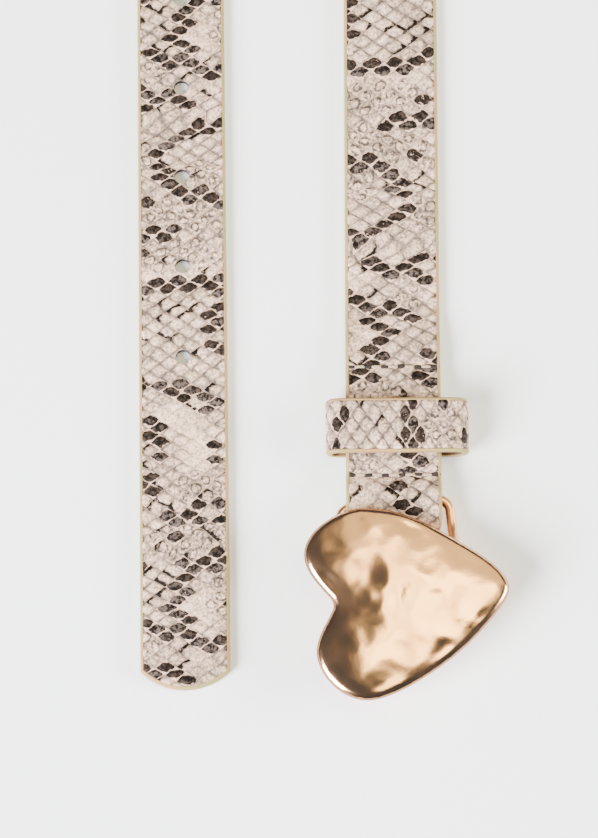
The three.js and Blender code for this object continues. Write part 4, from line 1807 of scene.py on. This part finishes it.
@dataclass
class HeartPlate:
    """The hammered heart plate with its rolled edge."""

    back: float = 7.6
    thickness: float = 3.0
    roll: float = 1.3
    crown: float = 1.7
    crown_reach: float = 15.0
    grain: float = 0.42
    rim_full: float = 0.15
    rim_end: float = 0.75
    dents: int = 150
    seed: int = 11
    dent_sizes: tuple[float, float] = (3.0, 7.0)
    dent_depths: tuple[float, float] = (0.06, 0.21)
    hammered_from: float = 0.6
    hammered_full: float = 4.0
    edge_share: float = 0.18
    smoothings: int = 3
    curve_steps: int = 16
    measured_steps: int = 60
    measured_at_once: int = 4000
    knots: tuple[Knot, ...] = (
        Knot(17.8, -26.2, -2, 7.5, 8.5),
        Knot(40.4, -34.6, -32, 8.0, 6.2),
        Knot(54.4, -47.9, -90, 5.4, 3.6),
        Knot(39.6, -65.8, -142, 6.5, 6.0),
        Knot(17.2, -77.0, 180, 6.8, 6.6),
        Knot(4.1, -64.4, 92, 6.0, 4.5),
        Knot(8.7, -52.2, 76, 2.6, 0.0),
        Knot(8.2, -50.4, 132, 0.0, 4.5),
        Knot(1.0, -38.3, 88, 4.5, 6.5),
    )

    def outline(self, steps: int) -> list[Vector]:
        """Draws the heart's outline.

        Args:
            steps: How many points there are between two knots.

        Returns:
            The points in order, seen from above.
        """
        points = []
        for knot, following in zip(self.knots, self.knots[1:] + self.knots[:1]):
            start = Vector((knot.x, knot.y))
            end = Vector((following.x, following.y))
            leaving = start + StrapRoute.towards(math.radians(knot.heading)) * knot.after
            arriving = end - StrapRoute.towards(math.radians(following.heading)) * following.before
            for share in np.linspace(0.0, 1.0, steps, endpoint=False):
                rest = 1 - share
                points.append(
                    start * rest**3
                    + leaving * (3 * rest**2 * share)
                    + arriving * (3 * rest * share**2)
                    + end * share**3
                )
        return points

    def edge_distance(self, places: np.ndarray) -> np.ndarray:
        """Measures how far places lie from the outline, seen from above."""
        line = np.array([p[:] for p in self.outline(self.measured_steps)])
        away = np.empty(len(places))
        for first in range(0, len(places), self.measured_at_once):
            some = slice(first, first + self.measured_at_once)
            apart = places[some, None, :2] - line[None]
            away[some] = np.sqrt((apart**2).sum(axis=2).min(axis=1))
        return away

    def hammered(self, places: np.ndarray) -> np.ndarray:
        """Works out how deep the hammer's marks are at some places.

        Args:
            places: Rows of places in millimetres.

        Returns:
            The depths in millimetres.
        """
        chance = np.random.default_rng(self.seed)
        depth = np.zeros(len(places))
        for _ in range(self.dents):
            centre = chance.uniform((-2.0, -80.0), (58.0, -22.0))
            size = chance.uniform(*self.dent_sizes)
            deep = chance.uniform(*self.dent_depths) * size / 4
            away = ((places[:, :2] - centre) ** 2).sum(axis=1) / size**2
            depth += deep * np.clip(1 - away, 0.0, 1.0) ** 1.5
        return depth

    def even_blank(self) -> bmesh.types.BMesh:
        """Makes the flat plate with a fine and even mesh.

        Returns:
            The mesh, in millimetres.
        """
        mesh = bmesh.new()
        verts = [mesh.verts.new((p.x, p.y, self.back)) for p in self.outline(self.curve_steps)]
        raised = bmesh.ops.extrude_face_region(mesh, geom=[mesh.faces.new(verts)])
        shift_new(mesh, raised, (0, 0, self.thickness))
        bmesh.ops.triangulate(mesh, faces=mesh.faces[:])
        bmesh.ops.recalc_face_normals(mesh, faces=mesh.faces[:])
        blank = add_mesh("plate_blank", mesh)
        even = blank.modifiers.new("even", "REMESH")
        even.mode = "VOXEL"
        even.voxel_size = self.grain
        mesh = shaped(blank)
        bpy.data.meshes.remove(blank.data)
        return mesh

    def form(self, mesh: bmesh.types.BMesh) -> None:
        """Rolls the plate's edge, raises its crown and hammers it.

        Args:
            mesh: The flat plate.
        """
        places = read_places(mesh)
        away = self.edge_distance(places)
        middle = self.back + self.thickness / 2
        share = np.clip(away / self.roll, 0.0, 1.0)
        rolled = np.sqrt(np.clip(1 - (1 - share) ** 2, 0.0, 1.0))
        full = self.edge_share + (1 - self.edge_share) * rolled
        places[:, 2] = middle + (places[:, 2] - middle) * full
        on_top = smoothstep(places[:, 2], middle, middle + self.thickness * 0.3)
        dome = np.clip(away / self.crown_reach, 0.0, 1.0)
        places[:, 2] += on_top * self.crown * dome * (2 - dome)
        inner = smoothstep(away, self.hammered_from, self.hammered_full)
        marks = self.hammered(places)
        places[:, 2] -= on_top * inner * (marks - marks.mean())
        write_places(mesh, places)
        axes = {f"use_axis_{axis}": True for axis in "xyz"}
        for _ in range(self.smoothings):
            bmesh.ops.smooth_vert(mesh, verts=mesh.verts[:], factor=0.5, **axes)

    def build(self, finish: RoseGold) -> bpy.types.Object:
        """Makes the plate.

        Args:
            finish: Its metal.

        Returns:
            The plate's object.
        """
        mesh = self.even_blank()
        self.form(mesh)
        to_frame(mesh)
        plate = finish_piece(mesh, "heart_plate", Body.BUCKLE, Slot.HAMMERED_METAL, finish)
        self.mark_rim(plate.data)
        return plate

    def mark_rim(self, data: bpy.types.Mesh) -> None:
        """Writes how near each vertex is to the plate's outline, where a dark reflection is painted.

        Args:
            data: The plate's mesh.
        """
        places = np.empty(3 * len(data.vertices))
        data.vertices.foreach_get("co", places)
        places = places.reshape(-1, 3) / METRES + np.array(BELT_MIDDLE)
        near = 1 - smoothstep(self.edge_distance(places), self.rim_full, self.rim_end)
        made = data.attributes.new("rim", "FLOAT", "POINT")
        made.data.foreach_set("value", near)


@dataclass
class WireFrame:
    """The wire that goes round the bar's end of the buckle and is soldered under the plate."""

    place: BucklePlace
    wire: float = 1.3
    half_width: float = 14.6
    corner: float = 3.2
    slope: float = 11.0
    reach: float = 17.5
    bar_height: float = 3.05
    end_height: float = 8.4
    sides: int = 20
    slope_steps: int = 9
    corner_steps: int = 10
    least_step: float = 0.05

    def route(self) -> list[Vector]:
        """Lists the points that the wire's middle passes."""
        half = self.half_width
        side = []
        for share in np.linspace(0.0, 1.0, self.slope_steps):
            eased = float(smoothstep(share, 0.0, 1.0))
            height = self.end_height + (self.bar_height - self.end_height) * eased
            side.append((-half, self.reach - self.slope * share, height))
        for angle in np.linspace(0.0, math.pi / 2, self.corner_steps):
            along = -half + self.corner * (1 - math.cos(angle))
            side.append((along, self.corner * (1 - math.sin(angle)), self.bar_height))
        mirrored = [(-a, b, h) for a, b, h in reversed(side)]
        points = []
        for along, from_bar, height in side + mirrored:
            spot = self.place.spot(along, from_bar, height)
            if not points or (spot - points[-1]).length > self.least_step:
                points.append(spot)
        return points

    def build(self, finish: RoseGold) -> bpy.types.Object:
        """Makes the wire frame.

        Args:
            finish: Its metal.

        Returns:
            The frame's object.
        """
        mesh = bmesh.new()
        draw_along(mesh, self.route(), self.wire, self.sides)
        to_frame(mesh)
        return finish_piece(mesh, "wire_frame", Body.BUCKLE, Slot.WIRE_METAL, finish)


@dataclass
class Peg:
    """The hidden post under the plate that goes through a hole of the strap."""

    place: BucklePlace
    radius: float = 1.7
    from_bar: float = 42.0
    top: float = 8.4
    sides: int = 28
    chamfer: float = 0.35
    chamfer_steps: int = 3

    def build(self, finish: RoseGold) -> bpy.types.Object:
        """Makes the peg.

        Args:
            finish: Its metal.

        Returns:
            The peg's object.
        """
        mesh = bmesh.new()
        middle = self.place.spot(0.0, self.from_bar, self.top / 2)
        add_post(mesh, middle, self.radius, self.top, self.sides)
        foot = [e for e in mesh.edges if all(v.co.z < 0.01 for v in e.verts)]
        round_edges(mesh, foot, self.chamfer, self.chamfer_steps)
        to_frame(mesh)
        return finish_piece(mesh, "peg", Body.BUCKLE, Slot.WIRE_METAL, finish)


# The studio


@dataclass(frozen=True)
class SoftLight:
    """A soft light, in metres. It faces straight down where it has no aim."""

    name: str
    place: tuple[float, float, float]
    wide: float
    long: float
    brightness: float
    tint: str
    aim: tuple[float, float, float] | None = None

    def build(self) -> None:
        """Adds the light."""
        lamp = bpy.data.lights.new(self.name, "AREA")
        lamp.color = linear(self.tint)[:3]
        lamp.shape = "RECTANGLE"
        lamp.size = self.wide
        lamp.size_y = self.long
        lamp.energy = self.brightness * math.pi * self.wide * self.long
        facing = Vector(self.aim) - Vector(self.place) if self.aim else Vector((0.0, 0.0, -1.0))
        holder = add_object(self.name, lamp)
        holder.location = self.place
        holder.rotation_mode = "QUATERNION"
        holder.rotation_quaternion = facing.to_track_quat("-Z", "Y")


# The lights' tints, and the place in the frame that two of them aim at.
WARM = "fff6c8"
COOL = "f5f8ff"
WHITE = "ffffff"
BUCKLE_END = (0.0, -0.2, 0.0)


@dataclass
class Studio:
    """The pale floor, the soft lights and the camera."""

    focal_pixels: float = 3850.0
    picture_height: float = 838.0
    sensor: float = 36.0
    tilt: float = math.radians(13.0)
    roll: float = math.radians(-0.435)
    away: float = 1021.9
    floor_size: float = 12.0
    floor_gap: float = 0.0002
    sky: str = "b4cdff"
    sky_strength: float = 0.17
    lights: tuple[SoftLight, ...] = (
        SoftLight("key", (0.49, -0.005, 1.5), 0.74, 0.75, 8.8, WARM),
        SoftLight("key_left", (-0.01, -0.005, 1.5), 0.1, 0.75, 9.0, WARM),
        SoftLight("key_bar", (0.08, -0.005, 1.5), 0.08, 0.75, 4.2, WARM),
        SoftLight("far_panel", (0.68, 0.92, 1.5), 1.84, 1.1, 1.6, WARM),
        SoftLight("front_left", (-1.35, -1.1, 0.95), 1.1, 1.1, 63.0, COOL, BUCKLE_END),
        SoftLight("right", (1.9, -0.3, 0.7), 1.2, 0.8, 36.0, WHITE, BUCKLE_END),
    )

    def build_floor(self, finish: FloorFinish) -> bpy.types.Object:
        """Makes the floor.

        Args:
            finish: Its finish.

        Returns:
            The floor's object.
        """
        mesh = bmesh.new()
        bmesh.ops.create_grid(mesh, x_segments=8, y_segments=8, size=self.floor_size / 2)
        bmesh.ops.translate(mesh, verts=mesh.verts, vec=(0, 0, -self.floor_gap))
        floor = add_mesh("floor", mesh)
        floor.data.materials.append(finish.make())
        return floor

    def build_lights(self) -> None:
        """Adds the lights and the room's own soft light."""
        for light in self.lights:
            light.build()
        world = bpy.data.worlds.new("studio")
        world.use_nodes = True
        room = world.node_tree.nodes["Background"]
        room.inputs["Color"].default_value = linear(self.sky)
        room.inputs["Strength"].default_value = self.sky_strength
        bpy.context.scene.world = world

    def build_camera(self) -> None:
        """Puts the camera where the picture was taken from."""
        ahead = Vector((0.0, math.sin(self.tilt), -math.cos(self.tilt)))
        level_up = Vector((0.0, math.cos(self.tilt), math.sin(self.tilt)))
        side = Vector((1.0, 0.0, 0.0))
        right = side * math.cos(self.roll) + level_up * math.sin(self.roll)
        up = level_up * math.cos(self.roll) - side * math.sin(self.roll)
        turned = Matrix((right, up, -ahead)).transposed().to_4x4()
        spot = (-ahead * self.away - BELT_MIDDLE) * METRES
        lens = bpy.data.cameras.new("camera")
        lens.sensor_width = self.sensor
        lens.lens = self.focal_pixels / self.picture_height * self.sensor
        lens.clip_start = 0.05
        lens.clip_end = 20.0
        camera = add_object("camera", lens)
        camera.matrix_world = Matrix.Translation(spot) @ turned
        bpy.context.scene.camera = camera


def main() -> None:
    """Builds the studio and every piece of the belt, in order."""
    logging.basicConfig(level=logging.INFO, format="%(name)s: %(message)s")
    studio = Studio()
    studio.build_camera()
    studio.build_floor(FloorFinish())
    studio.build_lights()

    route = StrapRoute()
    snake = SnakePrint()
    relief = ScaleRelief()
    strap = Strap(route, SewnRows(), PrintLay(route, snake), relief)
    skin = strap.build_skin(Snakeskin())
    leather = strap.build_leather(PaintedEdge(), Backing(), PunchedWall())
    for piece in (skin, leather):
        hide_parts("strap")
    Stitching(route, strap.sewn).build(Thread(), NeedleHoleShade())

    keeper = Keeper(relief)
    for piece in (keeper.build_skin(Snakeskin()), keeper.build_leather(PaintedEdge(), Backing())):
        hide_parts("keeper")

    place = BucklePlace()
    buckle = [
        HeartPlate().build(RoseGold("hammered_metal")),
        WireFrame(place).build(RoseGold("wire_metal", roughness=0.34, grain_depth=0.01)),
        Peg(place).build(RoseGold("peg_metal", roughness=0.24, grain_depth=0.01)),
    ]
    for piece in buckle:
        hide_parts("buckle")


if __name__ == "__main__":
    main()
